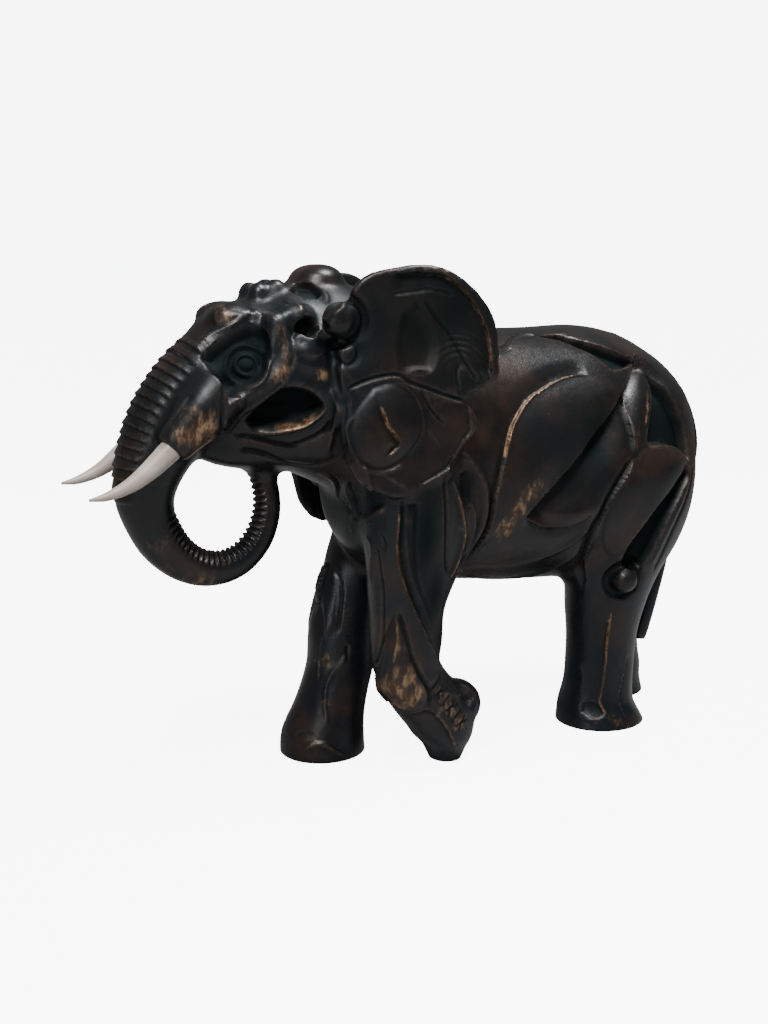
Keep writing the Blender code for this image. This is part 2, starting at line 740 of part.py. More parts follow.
def thin(obj, triangles):
    now = sum(len(face.vertices) - 2 for face in obj.data.polygons)
    step = obj.modifiers.new("thin", "DECIMATE")
    step.ratio = triangles / now
    settle(obj)


def bore(obj, side):
    """Cuts the socket of one tusk."""
    rows = tusk_rows(side, grow=SOCKET_GAP, root=SOCKET_GAP)
    cutter = tube("socket", rows, sides=TUSK_SIDES)
    cut = obj.modifiers.new("socket", "BOOLEAN")
    cut.operation = "DIFFERENCE"
    cut.object = cutter
    settle(obj)
    bpy.data.objects.remove(cutter)


def finish(obj, name, colour, metallic, roughness):
    obj.name = name
    material = bpy.data.materials.new(name)
    material.use_nodes = True
    shader = material.node_tree.nodes["Principled BSDF"]
    shader.inputs["Base Color"].default_value = (*colour, 1)
    shader.inputs["Metallic"].default_value = metallic
    shader.inputs["Roughness"].default_value = roughness
    obj.data.materials.clear()
    obj.data.materials.append(material)
    obj.data.shade_smooth()
    obj.data.set_sharp_from_angle(angle=math.radians(40))


def centre(objects):
    """Sets the middle of the underside of the whole at the origin."""
    points = []
    for obj in objects:
        flat = np.empty(len(obj.data.vertices) * 3)
        obj.data.vertices.foreach_get("co", flat)
        points.append(flat.reshape(-1, 3))
    low = np.vstack(points).min(0)
    high = np.vstack(points).max(0)
    middle = np.array(((low[0] + high[0]) / 2, (low[1] + high[1]) / 2, low[2]))
    for obj, place in zip(objects, points):
        obj.data.vertices.foreach_set("co", (place - middle).ravel())
        obj.data.update()


def main():
    for obj in list(bpy.data.objects):
        bpy.data.objects.remove(obj)
    elephant = body()
    carve(elephant)
    thin(elephant, BODY_TRIANGLES)
    stand(elephant)
    for side in (NEAR, FAR):
        bore(elephant, side)
    tusks = [tusk("left_tusk", NEAR), tusk("right_tusk", FAR)]
    finish(elephant, "bronze_elephant", (0.05, 0.04, 0.03), 1.0, 0.35)
    for one in tusks:
        finish(one, one.name, (0.75, 0.68, 0.60), 0.0, 0.4)
    centre([elephant] + tusks)


if __name__ == "__main__":
    main()
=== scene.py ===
"""The looks of the bronze elephant: its fine carving, patina and pale tusks, on a pale floor.

The form repeats the tables of the solid, in the same drawing units, and is then carved finer.
"""

import json
import math

import bmesh
import bpy
import numpy as np
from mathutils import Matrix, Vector
from mathutils.bvhtree import BVHTree
from mathutils.kdtree import KDTree

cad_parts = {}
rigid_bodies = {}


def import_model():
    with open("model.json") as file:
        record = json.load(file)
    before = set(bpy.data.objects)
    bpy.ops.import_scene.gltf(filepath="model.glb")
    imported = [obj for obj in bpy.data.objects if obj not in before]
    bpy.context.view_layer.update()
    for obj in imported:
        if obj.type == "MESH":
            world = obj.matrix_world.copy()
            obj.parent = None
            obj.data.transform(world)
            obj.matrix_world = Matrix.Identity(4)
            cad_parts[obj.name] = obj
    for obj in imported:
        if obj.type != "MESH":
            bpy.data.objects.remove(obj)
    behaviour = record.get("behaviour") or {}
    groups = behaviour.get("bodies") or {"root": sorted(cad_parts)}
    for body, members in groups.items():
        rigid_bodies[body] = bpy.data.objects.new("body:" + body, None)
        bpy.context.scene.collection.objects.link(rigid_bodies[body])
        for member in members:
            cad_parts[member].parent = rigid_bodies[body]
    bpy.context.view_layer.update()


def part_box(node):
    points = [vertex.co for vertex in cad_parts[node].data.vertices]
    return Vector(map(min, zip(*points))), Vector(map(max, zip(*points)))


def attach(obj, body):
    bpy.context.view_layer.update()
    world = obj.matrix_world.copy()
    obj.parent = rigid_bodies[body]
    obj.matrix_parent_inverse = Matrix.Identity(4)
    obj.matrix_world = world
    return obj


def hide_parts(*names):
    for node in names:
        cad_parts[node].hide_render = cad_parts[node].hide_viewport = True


STATUE_HEIGHT = 0.338
DRAWN_HEIGHT = 338.0
UNIT = STATUE_HEIGHT / DRAWN_HEIGHT

TUSK_RADIUS = 0.007
TUSK_TIP_RADIUS = 0.0008
SOCKET_DEPTH = 0.012
SHEATH_WALL = 0.004
TUSK_SIDES = 48
# The share of a tusk before its taper starts, and how the taper bends
TUSK_STRAIGHT = 0.2
TUSK_TAPER = 1.3

MASS_VOXEL = 3.0 * UNIT
FORM_VOXEL = 2.0 * UNIT
SKIN_VOXEL = 1.8 * UNIT
MASS_SMOOTHING = 14
FORM_SMOOTHING = 5
SKIN_SMOOTHING = 1
RING_SIDES = 36
RINGS_PER_STATION = 5
BODY_TRIANGLES = 190000
CURVE_STEP = 0.6 * UNIT
POINTS_AT_ONCE = 4000
NEAR, FAR = -1, 1

# The view of the photograph: degrees, pixels and metres from the drawing's origin
PHOTO_HEIGHT = 1024
CAMERA_AZIMUTH, CAMERA_ELEVATION = -28, 11
CAMERA_FOCAL_PIXELS = 1200
CAMERA_DISTANCE = 0.840
CAMERA_TARGET = (0, 0.010, 0.168)
SENSOR = 36

# The barrel and chest: x, lowest z, highest z, half width
TORSO = (
    (-44, 161, 232, 27),
    (-30, 143, 262, 45),
    (-5, 126, 288, 60),
    (30, 120, 297, 68),
    (70, 115, 295, 72),
    (110, 111, 295, 74),
    (150, 110, 296, 74),
    (185, 116, 289, 68),
    (212, 132, 275, 57),
    (232, 150, 261, 44),
    (248, 172, 242, 28),
    (257, 190, 226, 14),
)
# The skull and jaw, as the barrel
HEAD = (
    (-152, 254, 285, 11),
    (-145, 240, 293, 20),
    (-132, 226, 307, 30),
    (-116, 216, 314, 39),
    (-98, 211, 318, 45),
    (-80, 205, 325, 49),
    (-60, 196, 330, 52),
    (-40, 186, 328, 54),
    (-20, 178, 319, 55),
    (5, 172, 306, 54),
    (30, 180, 290, 44),
)
# Legs: z, centre x, centre y, radius along x, radius along y
NEAR_FORE_LEG = (
    (250, 4, -34, 34, 20),
    (225, 4, -38, 46, 30),
    (190, 1, -41, 43, 31),
    (160, -2, -41, 38, 28),
    (134, -5, -40, 33, 24),
    (110, -9, -39, 27, 22),
    (86, -9, -39, 26, 22),
    (70, -8, -39, 25, 22),
    (58, -4, -39, 22, 20),
)
FAR_FORE_LEG = (
    (250, 4, 34, 30, 20),
    (225, 9, 38, 38, 30),
    (190, 9, 38, 30, 30),
    (160, 2, 34, 26, 27),
    (135, -9, 30, 25, 25),
    (110, -17, 27, 25, 24),
    (85, -24, 25, 27, 24),
    (60, -29, 22, 25, 24),
    (33, -39, 19, 26, 26),
    (14, -46, 17, 30, 29),
    (-12, -46, 16, 31, 31),
)
NEAR_HIND_LEG = (
    (270, 182, -22, 28, 16),
    (245, 184, -34, 42, 26),
    (205, 184, -40, 46, 32),
    (170, 182, -40, 47, 33),
    (140, 178, -36, 44, 31),
    (115, 172, -30, 38, 29),
    (92, 169, -26, 33, 27),
    (68, 168, -24, 28, 25),
    (49, 167, -24, 27, 25),
    (30, 166, -24, 27, 25),
    (14, 164, -24, 30, 27),
    (4, 166, -26, 33, 31),
    (-12, 168, -28, 38, 34),
)
FAR_HIND_LEG = (
    (270, 196, 26, 28, 16),
    (245, 196, 34, 40, 26),
    (205, 196, 40, 44, 32),
    (170, 198, 40, 44, 33),
    (140, 201, 36, 41, 31),
    (115, 205, 30, 35, 29),
    (92, 208, 27, 31, 27),
    (68, 210, 26, 28, 25),
    (49, 211, 26, 27, 25),
    (30, 212, 26, 28, 26),
    (22, 213, 26, 30, 27),
    (14, 212, 26, 29, 27),
    (-12, 214, 26, 34, 30),
)
# Tubes: x, y, z, radius across the bend, radius in the bend
BENT_FOOT = (
    (-10, -39, 84, 20, 21),
    (-7, -39, 68, 22, 23),
    (2, -39, 53, 22, 23),
    (12, -39, 40, 23, 23),
    (19, -39, 29, 23, 23),
    (22, -38, 19, 21, 20),
    (23, -37, 9, 16, 15),
    (24, -36, -6, 10, 9),
)
TRUNK = (
    (-112, 0, 275, 38, 33),
    (-135, 0, 263, 33, 30),
    (-155, 0, 242, 28, 27.5),
    (-168, 0, 220, 23.5, 23.5),
    (-174, 0, 200, 20.5, 20),
    (-172, 0, 183, 18, 17),
    (-163, 0, 164, 16, 15.5),
    (-149, 0, 150.5, 13.5, 13.5),
    (-132, 0, 144, 12, 12),
    (-114, 0, 147, 11, 11),
    (-100, 0, 159, 10.5, 10.5),
    (-93, 0, 175, 10, 10),
    (-92, 0, 190, 9.5, 9.5),
    (-96, 0, 205, 9, 9),
    (-103, 0, 220, 8, 8),
)
LIP = (
    (-70, 0, 222, 30, 16),
    (-95, 0, 220, 26, 13),
    (-115, 0, 220, 22, 11),
    (-128, 0, 220, 17, 8),
    (-136, 0, 221, 10, 5),
)
TAIL = (
    (182, 0, 284, 9, 7),
    (205, 0, 274, 9, 7),
    (228, 0, 261, 9, 7),
    (248, 0, 243, 9, 7),
    (262, 0, 219, 9, 7),
    (266, 0, 194, 9, 7),
    (257, 0, 165, 8.5, 7),
    (246.5, 0, 138, 8, 7),
    (241, 0, 110, 8, 7),
    (234, 0, 84, 8, 7),
    (227, 0, 60, 7.5, 7),
    (223, 0, 47, 7, 6.5),
)
# The heel of the lifted foot: centre, then radii
HEEL = (30, -39, 39, 18, 19, 17)
# Left tusk, from its root in the socket to its tip: x, distance from the middle, z
TUSK = (
    (-167, 33, 228),
    (-179, 34, 218),
    (-192, 34, 209),
    (-206, 34, 203.5),
    (-217, 34, 202),
)
SHEATH_ROOT = (-132, 27, 262)
# The sheath's radius over that of its lip, at shares of its length
SHEATH_PROFILE = ((0, 1), (0.25, 1.2), (0.6, 1.6), (1, 1.75))
# Round masses on the head, on both sides: centre x, distance from the middle, z, then three radii
HEAD_MASSES = (
    (-116, 10, 305, 18, 15, 10),
    (-98.5, 8, 318.5, 7, 8, 8.5),
    (-87, 8, 321, 7.5, 8, 8),
    (-55, 4, 327, 17, 17, 11),
    (-98, 34, 287, 9, 9, 22),
    (-80, 41, 282, 14, 11, 14),
    (-86, 34, 305, 13, 10, 9),
)
HEAD_BALLS = (
    (-64, 53, 304, 11),
    (-61, 53.5, 285, 5.5),
)
LEG_BALL = (161, 56, 115, 10)
# The web behind the thighs, under the tail, as the trunk
WEB = (
    (222, 0, 214, 30, 20),
    (222, 0, 180, 24, 18),
    (220, 0, 150, 18, 15),
    (217, 0, 122, 12, 10),
)
# Outline of the left ear from the side: x, z
EAR_OUTLINE = (
    (-60, 312), (-58, 322), (-52, 329), (-44, 333), (-34, 335), (-22, 337), (-10, 337),
    (1, 334), (11, 328), (20, 320), (26, 312), (31, 303), (33, 294), (34, 285), (34, 276),
    (33, 266), (13, 254), (19, 247), (21, 235), (16, 229), (3, 213), (2, 207), (-20, 197),
    (-26, 193), (-38, 194), (-54, 203), (-62, 222), (-65, 240), (-66, 262), (-65, 290),
)
EAR_TOP = max(z for x, z in EAR_OUTLINE)
EAR_BOTTOM = min(z for x, z in EAR_OUTLINE)
EAR_MIDDLE = (-22, 268)
EAR_THICKNESS = 7
FAR_EAR_DROOP = 35
FAR_EAR_SINK = 4
FAR_EAR_SHIFT = 11

# How far out, from the middle, the carved skin is sought: outside the figure or between its legs
OUTSIDE = 500
BETWEEN_LEGS = 16
# How much a vertex has to face the side that is carved, for lines, fields and tints
LINE_FACING, FIELD_FACING, TINT_FACING = -0.25, -0.1, -0.2
# Lengths over which lines and plate edges fade at their ends, and the shares left right there
LINE_FADE, PLATE_FADE = 6, 10
LINE_START, PLATE_START, GILT_START = 0.1, 0.05, 0.2
# How far a line and a gold line reach, in their own widths
LINE_REACH, GILT_REACH = 2.5, 3
# A plate edge: the width of its step and of its crest, and the bend of the climb behind it
PLATE_STEP, PLATE_CREST, PLATE_CLIMB = 1.3, 1.6, 0.7
# A field: how far across the figure it may reach, and the depth at which its painted shade and dark
# patina are full
FIELD_DEPTH = 40
DARK_DEPTH = 6
# A turned form: the step of its profile and the steps over which its edges are eased
PROFILE_STEP, PROFILE_EASE = 0.1, 6
# Rubbed patches: their strength, and how far out from the middle they start
PATCH_STRENGTH = 0.9
RUBBED_FROM = 8
# Carving, as places x, z in the side view. A line is a route, a height (a groove below zero) and
# a width. A plate edge is a route drawn downwards, a drop, the slope on which the lower side
# climbs back (to the right where it is below zero) and the crest of the edge. A field is an
# outline, a height, the width of its edge and the height of the dome over it.
FLANK_PLATES = (
    (((124, 264), (110, 264), (95, 261), (82, 256), (73, 252), (63, 244), (54, 233), (50, 223),
      (47, 212), (44, 198), (42, 185), (42, 168), (38, 151), (31, 134)), 2.6, 15, 0.7),
    (((178, 276), (163, 264), (148, 251), (135, 238), (125, 229), (113, 219), (101, 207),
      (88, 195), (77, 184), (66, 171)), 8.5, -34, 0.6),
    (((151, 208), (146, 197), (140, 188), (133, 176), (129, 165), (127, 153), (130, 136),
      (137, 119), (138, 105)), 2.8, 9, 1.3),
    (((202, 202), (199, 196), (188, 185), (174, 169), (166, 156), (159, 144), (154, 129)),
     2.4, -10, 0.7),
    (((155, 254), (152, 244), (152, 231), (152, 219), (152, 209)), 2.6, 8, 0.6),
    (((66, 171), (80, 164), (94, 162), (107, 165), (119, 171)), 3.6, 11, 1.0),
)
FLANK_FIELDS = (
    (((101, 289), (119, 290), (129, 287), (140, 284), (152, 280), (162, 276), (173, 271),
      (149, 266), (140, 271), (134, 277), (126, 281), (116, 286)), -7.0, 3, 0),
    (((183, 263), (195, 250), (202, 235), (207, 220), (207, 201), (201, 204), (193, 210),
      (182, 213), (165, 215), (169, 231), (178, 247)), -8.5, 3, 0),
    (((204, 199), (207, 190), (200, 178), (190, 161), (183, 143), (178, 129), (172, 121),
      (156, 127), (160, 144), (166, 156), (174, 169), (188, 185)), -6.5, 3, 0),
    (((155, 253), (171, 268), (183, 265), (178, 254), (169, 238), (163, 225), (158, 216),
      (152, 209), (152, 231)), 0.4, 3, 1.6),
    (((112, 263), (82, 256), (54, 233), (47, 212), (42, 185), (38, 151), (64, 170), (88, 195),
      (113, 219), (146, 250), (134, 262)), 0, 4, 2.6),
    (((153, 209), (162, 213), (173, 214), (186, 212), (198, 207), (203, 202), (199, 196),
      (188, 185), (174, 169), (159, 144), (148, 134), (133, 160), (140, 188)), 0.5, 3, 3.2),
)
FLANK_LINES = (
    (((62, 282), (70, 284), (79, 288), (92, 290), (103, 290)), -1.3, 1.2),
    (((60, 279), (68, 281), (74, 283)), -0.8, 1.0),
    (((178, 279), (171, 271), (163, 264)), -1.0, 1.2),
    (((212, 197), (210, 184), (204, 170), (196, 153), (191, 136), (187, 118)), -1.3, 1.1),
    (((206, 199), (206, 186), (200, 174), (192, 158), (186, 142), (181, 124)), 0.9, 1.4),
    (((33, 129), (43, 134), (65, 132), (84, 134), (101, 141), (113, 149), (122, 160)), 0.9, 2.4),
    (((46, 124), (76, 117), (99, 118), (112, 126), (121, 139)), 0.8, 2.0),
)
HEAD_FIELDS = (
    (((-145, 281), (-137, 289), (-128, 295), (-119, 300), (-112, 302), (-106, 300), (-104, 291),
      (-104, 281), (-109, 271), (-116, 264), (-125, 259), (-134, 254), (-137, 262), (-139, 271)),
     -6.0, 6, -3.0),
    (((-120, 243), (-113, 252), (-107, 258), (-97, 264), (-85, 263), (-77, 258), (-72, 252),
      (-72, 247), (-79, 241), (-90, 236), (-103, 234), (-114, 236)), -9.5, 5, -3.0),
    (((-82, 321), (-76, 325), (-70, 327), (-65, 325), (-63, 320), (-68, 316), (-76, 317)),
     -5.0, 3, 0),
)
HEAD_LINES = (
    (((-112, 305), (-102, 305), (-96, 298), (-94, 288), (-97, 277), (-104, 268), (-114, 261),
      (-127, 254)), 2.4, 4.2),
    (((-140, 294), (-128, 300), (-116, 307)), -1.1, 1.5),
    (((-146, 284), (-137, 293), (-124, 301), (-112, 307), (-104, 306)), 1.8, 3.4),
    (((-92, 289), (-85, 294), (-76, 294), (-67, 289)), 2.0, 3.0),
    (((-91, 284), (-86, 280), (-78, 279), (-70, 282)), -1.6, 2.6),
    (((-64, 323), (-62, 317), (-67, 310), (-74, 306)), 1.4, 2.0),
    (((-88, 317), (-84, 311), (-88, 305)), 1.2, 2.2),
    (((-110, 236), (-100, 236), (-90, 238), (-82, 241), (-75, 247), (-73, 253)), 4.0, 1.9),
    (((-124, 232), (-114, 232), (-107, 230), (-97, 227), (-88, 226), (-80, 229), (-71, 235),
      (-66, 244)), -3.0, 1.7),
    (((-120, 224), (-105, 221), (-88, 214), (-74, 211), (-66, 213), (-58, 219)), -2.0, 1.6),
    (((-127, 234), (-125, 242), (-121, 248), (-110, 256), (-98, 266), (-92, 275), (-89, 284)),
     1.3, 1.5),
    (((-70, 263), (-66, 252), (-66, 240), (-69, 232)), 1.6, 2.6),
    (((-154, 262), (-160, 254), (-166, 246), (-170, 241)), -1.3, 1.5),
    (((-134, 270), (-138, 258), (-138, 247), (-136, 238)), -1.4, 1.8),
    (((-66, 290), (-68, 275), (-66, 262), (-63, 248)), -1.6, 3.0),
)
# Turned forms on the head: centre, then heights over the radius, and the height of a round of it
EYE_TURN = (-118.5, 278, 1.15, (
    (0, 1.8), (3.2, 1.6), (4.4, 0.2), (5.6, 1.7), (7.4, 1.3), (8.6, -0.5), (10.6, 0.2),
    (12.2, 1.5), (13.8, 0.1), (15.5, 0)))
HEAD_TURNS = (
    EYE_TURN,
    (-81, 299, 0.8, ((0, -7.5), (4, -7), (6.5, -2), (8.5, 0.8), (11, 0.2), (13, 0))),
    (-64, 303, 1.0, ((0, 0), (10.5, 0), (12.5, -3.8), (14.5, -3.4), (17, -0.6), (20, 0))),
    (-61, 284, 1.0, ((0, 0), (5, 0), (7, -2), (9.5, -0.5), (11, 0))),
)
EAR_PLATES = (
    (((-37, 331), (-24, 332), (-14, 332), (-5, 331), (6, 324), (12, 318), (17, 311), (22, 302),
      (25, 294), (27, 283), (28, 272), (27, 265)), 3.2, 16, 1.0),
    (((14, 251), (15, 238), (15, 233), (10, 226), (3, 213), (0, 210), (-12, 203), (-21, 199)),
     1.8, 10, 0.3),
    (((-42, 253), (-38, 240), (-34, 234), (-30, 227), (-35, 222), (-41, 219)), 2.4, 9, 0.5),
)
EAR_FIELDS = (
    (((-16, 319), (-23, 314), (-29, 309), (-31, 301), (-33, 291), (-32, 280), (-29, 271),
      (-21, 268), (-11, 269), (-6, 273), (-3, 285), (-6, 297), (-11, 308)), -3.2, 8, -1.2),
    (((-46, 262), (-34, 265), (-24, 260), (-18, 252), (-15, 240), (-18, 229), (-28, 218),
      (-41, 212), (-52, 216), (-58, 228), (-58, 245)), 0.6, 2.5, 5.0),
)
EAR_LINES = (
    (((-36, 319), (-28, 320), (-19, 321), (-12, 322), (-1, 320), (5, 317)), -1.3, 1.0),
    (((-16, 317), (-11, 311), (-5, 303), (2, 295), (7, 287), (10, 280), (15, 272), (20, 263)),
     -1.4, 1.0),
    (((10, 278), (7, 272), (7, 265), (9, 258)), -1.2, 0.9),
    (((-23, 272), (-17, 273), (-10, 272)), 1.8, 1.3),
    (((-62, 262), (-45, 268), (-30, 270), (-22, 265), (-11, 261), (-1, 257), (14, 252)),
     -2.0, 1.2),
    (((-34, 266), (-24, 261), (-17, 252), (-14, 240), (-17, 229), (-24, 220)), 0.9, 1.1),
    (((-57, 246), (-62, 238), (-61, 228), (-55, 215), (-47, 210), (-36, 210), (-26, 215)),
     1.1, 1.1),
    (((-16, 261), (-11, 251), (-7, 245), (0, 237)), -1.1, 0.9),
    (((-14, 237), (-10, 233), (-2, 222)), 0.9, 0.9),
    (((-41, 209), (-33, 203), (-24, 198)), 0.9, 0.9),
)
NECK_LINES = (
    (((-53, 216), (-46, 195), (-42, 181), (-40, 171)), 1.4, 1.6),
    (((-58, 204), (-50, 196), (-45, 186), (-42, 176)), -1.4, 1.4),
    (((-66, 206), (-55, 200), (-47, 190), (-42, 178)), 1.2, 1.5),
    (((-50, 208), (-45, 196), (-41, 184)), -1.0, 1.1),
    (((-62, 262), (-61, 246), (-63, 232), (-62, 216)), -1.2, 1.8),
    (((-66, 250), (-66, 236), (-66, 220)), 1.0, 1.8),
)
SHOULDER_FIELDS = (
    (((12, 206), (21, 208), (28, 198), (27, 184), (20, 181), (14, 192)), -2.6, 4, 0),
)
SHOULDER_LINES = (
    (((0, 204), (2, 180), (5, 153), (9, 137)), -1.5, 1.1),
    (((5, 203), (13, 188), (17, 174), (20, 161), (17, 145), (11, 133)), 1.8, 1.7),
    (((21, 190), (27, 177), (30, 165), (29, 154), (24, 146)), 1.4, 1.6),
    (((14, 219), (26, 207), (33, 197), (37, 178), (36, 161), (30, 148), (20, 134)), 2.4, 2.6),
)
LEG_PLATES = (
    (((-28, 191), (-27, 173), (-28, 160), (-25, 143), (-18, 124), (-12, 112), (-2, 92), (8, 75),
      (20, 57), (28, 45), (34, 37)), 5.0, -20, 0.8),
    (((-16, 40), (-10, 43), (-3, 45), (7, 36), (15, 22), (20, 13)), 1.6, 9, 0.6),
)
LEG_FIELDS = (
    (((-25, 112), (-28, 105), (-31, 93), (-32, 80), (-31, 66), (-26, 54), (-20, 46), (-12, 44),
      (-6, 48), (-5, 58), (-10, 68), (-16, 78), (-21, 92)), 0.3, 3, 3.4),
    (((-25, 188), (-24, 165), (-19, 140), (-8, 118), (4, 98), (0, 112), (-11, 134), (-16, 160),
      (-17, 188)), -2.0, 4, 0),
)
LEG_LINES = (
    (((-25, 116), (-20, 98), (-15, 80), (-8, 67), (-3, 57), (-3, 47)), -1.8, 1.6),
    (((-26, 115), (-30, 103), (-33, 90)), -1.0, 1.1),
    (((-25, 110), (-25, 96), (-27, 80)), 1.0, 1.0),
    (((-37, 160), (-35, 145), (-33, 131), (-32, 116), (-32, 100), (-33, 87), (-34, 67)),
     -1.3, 1.1),
    (((-38, 132), (-33, 131)), -2.2, 1.2),
    (((-41, 168), (-39, 160), (-38, 145), (-37, 132)), 0.9, 1.1),
    (((-38, 171), (-34, 163), (-34, 156)), -1.1, 1.1),
    (((-42, 171), (-40, 178), (-37, 183), (-33, 185)), 2.4, 2.6),
    (((22, 52), (28, 44), (35, 37)), -1.1, 1.1),
    (((24, 56), (33, 52), (41, 44)), -0.9, 1.1),
)
FAR_LEG_FIELDS = (
    (((-37, 132), (-40, 120), (-43, 107), (-46, 93), (-48, 80), (-41, 88), (-38, 100),
      (-35, 114), (-34, 126)), 0.4, 2, 2.0),
)
FAR_LEG_LINES = (
    (((-37, 134), (-40, 120), (-43, 105), (-46, 88), (-49, 70), (-52, 52)), -0.8, 1.2),
    (((-37, 134), (-33, 126), (-33, 113), (-36, 99), (-39, 86)), -1.3, 1.2),
    (((-37, 136), (-33, 134)), -1.8, 1.3),
    (((-33, 74), (-38, 66), (-44, 60), (-49, 50), (-52, 38), (-53, 25)), 0.9, 1.3),
    (((-70, 8), (-64, 13), (-57, 13), (-49, 7), (-42, 3)), 1.4, 1.8),
    (((-74, 14), (-68, 20), (-60, 20)), -0.9, 1.4),
)
# Short level ribs up the far fore leg
RIB_COUNT = 10
RIB_TOP, RIB_BOTTOM = 106, 79
RIB_NEAR_X, RIB_FAR_X = -35, -27
RIB_HEIGHT, RIB_WIDTH = -0.7, 0.9
# The far hind foot is carved as the near one, this far behind it
FAR_HIND_SHIFT = 46
HIND_LEG_PLATES = (
    (((156, 87), (156, 66), (155, 48), (153, 31), (151, 20), (155, 10)), 1.5, 14, 0.9),
    (((174, 55), (171, 38), (167, 24), (170, 6)), 1.5, -12, 0.8),
)
HIND_LEG_FIELDS = (
    (((139, 12), (141, 19), (146, 21), (150, 19), (153, 12), (146, 10)), -1.6, 2, 0),
)
HIND_LEG_LINES = (
    (((142, 50), (143, 36), (141, 24)), 0.9, 1.8),
    (((138, 8), (146, 8), (154, 9)), 1.2, 1.5),
)
LEG_BALL_TURN = (161, 115, 1.0, (
    (0, 0), (9.5, 0), (11.5, -3.6), (14, -3.2), (16, -0.4), (18, 0)))
# Wavy ribs in the upper half of the ear, round the lower end of its vein
RIPPLE_CENTRE = (10, 270)
RIPPLE_FROM, RIPPLE_TO = 8, 30
RIPPLE_WIDE = 22
RIPPLE_STEP = 3.7
RIPPLE_BEND = 0.15
RIPPLE_DEPTH = 0.4
RIPPLE_OUT = 60
# A row of slanting strokes cut into the foot, where the cast is signed
STROKE_ROW = ((-3, 59), (19, 27), 9)
STROKE_LEANS = ((9.0, 7.5), (11.0, 3.0), (5.5, 10.0))
STROKE_DEPTH = 1.1
STROKE_WIDTH = 0.9
# Soft bulges and hollows: x, side, z, half length, half height, rise
SWELLS = (
    (99, NEAR, 172, 24, 9, 5.5), (99, FAR, 172, 24, 9, 5.5),
    (128, NEAR, 222, 15, 24, -3.0), (128, FAR, 222, 15, 24, -3.0),
    (2, NEAR, 297, 20, 20, -3.5), (-20, NEAR, 326, 20, 6, -1.0),
    (-100, NEAR, 246, 20, 5, -2.0), (-84, NEAR, 218, 24, 5, 1.2),
    (172, NEAR, 190, 22, 20, 2.0), (20, NEAR, 196, 7, 10, -3.0),
    (-52, NEAR, 290, 7, 18, -2.5), (-33, NEAR, 150, 4, 50, 1.2), (10, NEAR, 160, 7, 26, -1.5),
)
# Places painted dark, partly dark patina and partly painted shade: x, side, z, half length, half
# height, strength
SHADED = (
    (122, NEAR, 219, 14, 30, 0.9), (100, NEAR, 197, 12, 14, 0.6), (122, FAR, 219, 14, 30, 0.8),
    (-52, NEAR, 288, 8, 24, 0.8), (8, NEAR, 292, 16, 22, 0.5), (20, NEAR, 195, 8, 12, 0.7),
    (60, NEAR, 225, 10, 30, 0.25), (-98, NEAR, 246, 22, 8, 0.6), (-130, NEAR, 272, 18, 12, 0.5),
    (190, NEAR, 238, 14, 24, 0.6), (-60, NEAR, 226, 6, 24, 0.5), (-2, NEAR, 225, 10, 24, 0.35),
    (-18, NEAR, 292, 16, 26, 0.8), (-2, NEAR, 306, 30, 24, 0.7), (-44, NEAR, 300, 12, 24, 0.7),
    (-84, NEAR, 300, 8, 6, 0.8), (-74, NEAR, 320, 10, 6, 0.6), (-64, NEAR, 316, 9, 9, 0.6),
    (-12, NEAR, 168, 9, 34, 0.9), (0, NEAR, 125, 9, 22, 0.8), (12, NEAR, 92, 9, 16, 0.7),
    (150, NEAR, 60, 10, 60, 0.35), (-42, NEAR, 180, 10, 20, 0.5),
)
# Bands on the outside of the trunk and beads on its inside, from and to shares of its length
TRUNK_BANDS, TRUNK_BEADS = 52, 56
TRUNK_BAND_DEPTH, TRUNK_BEAD_DEPTH = 1.7, 1.0
BANDS_FROM, BANDS_TO = 0.045, 0.34
BEADS_FROM, BEADS_TO = 0.42, 0.9
# The part of the figure in which the trunk's skin is sought, and its reach over the route
TRUNK_BEFORE_X, TRUNK_BELOW_Z = -82, 292
TRUNK_REACH = 1.35
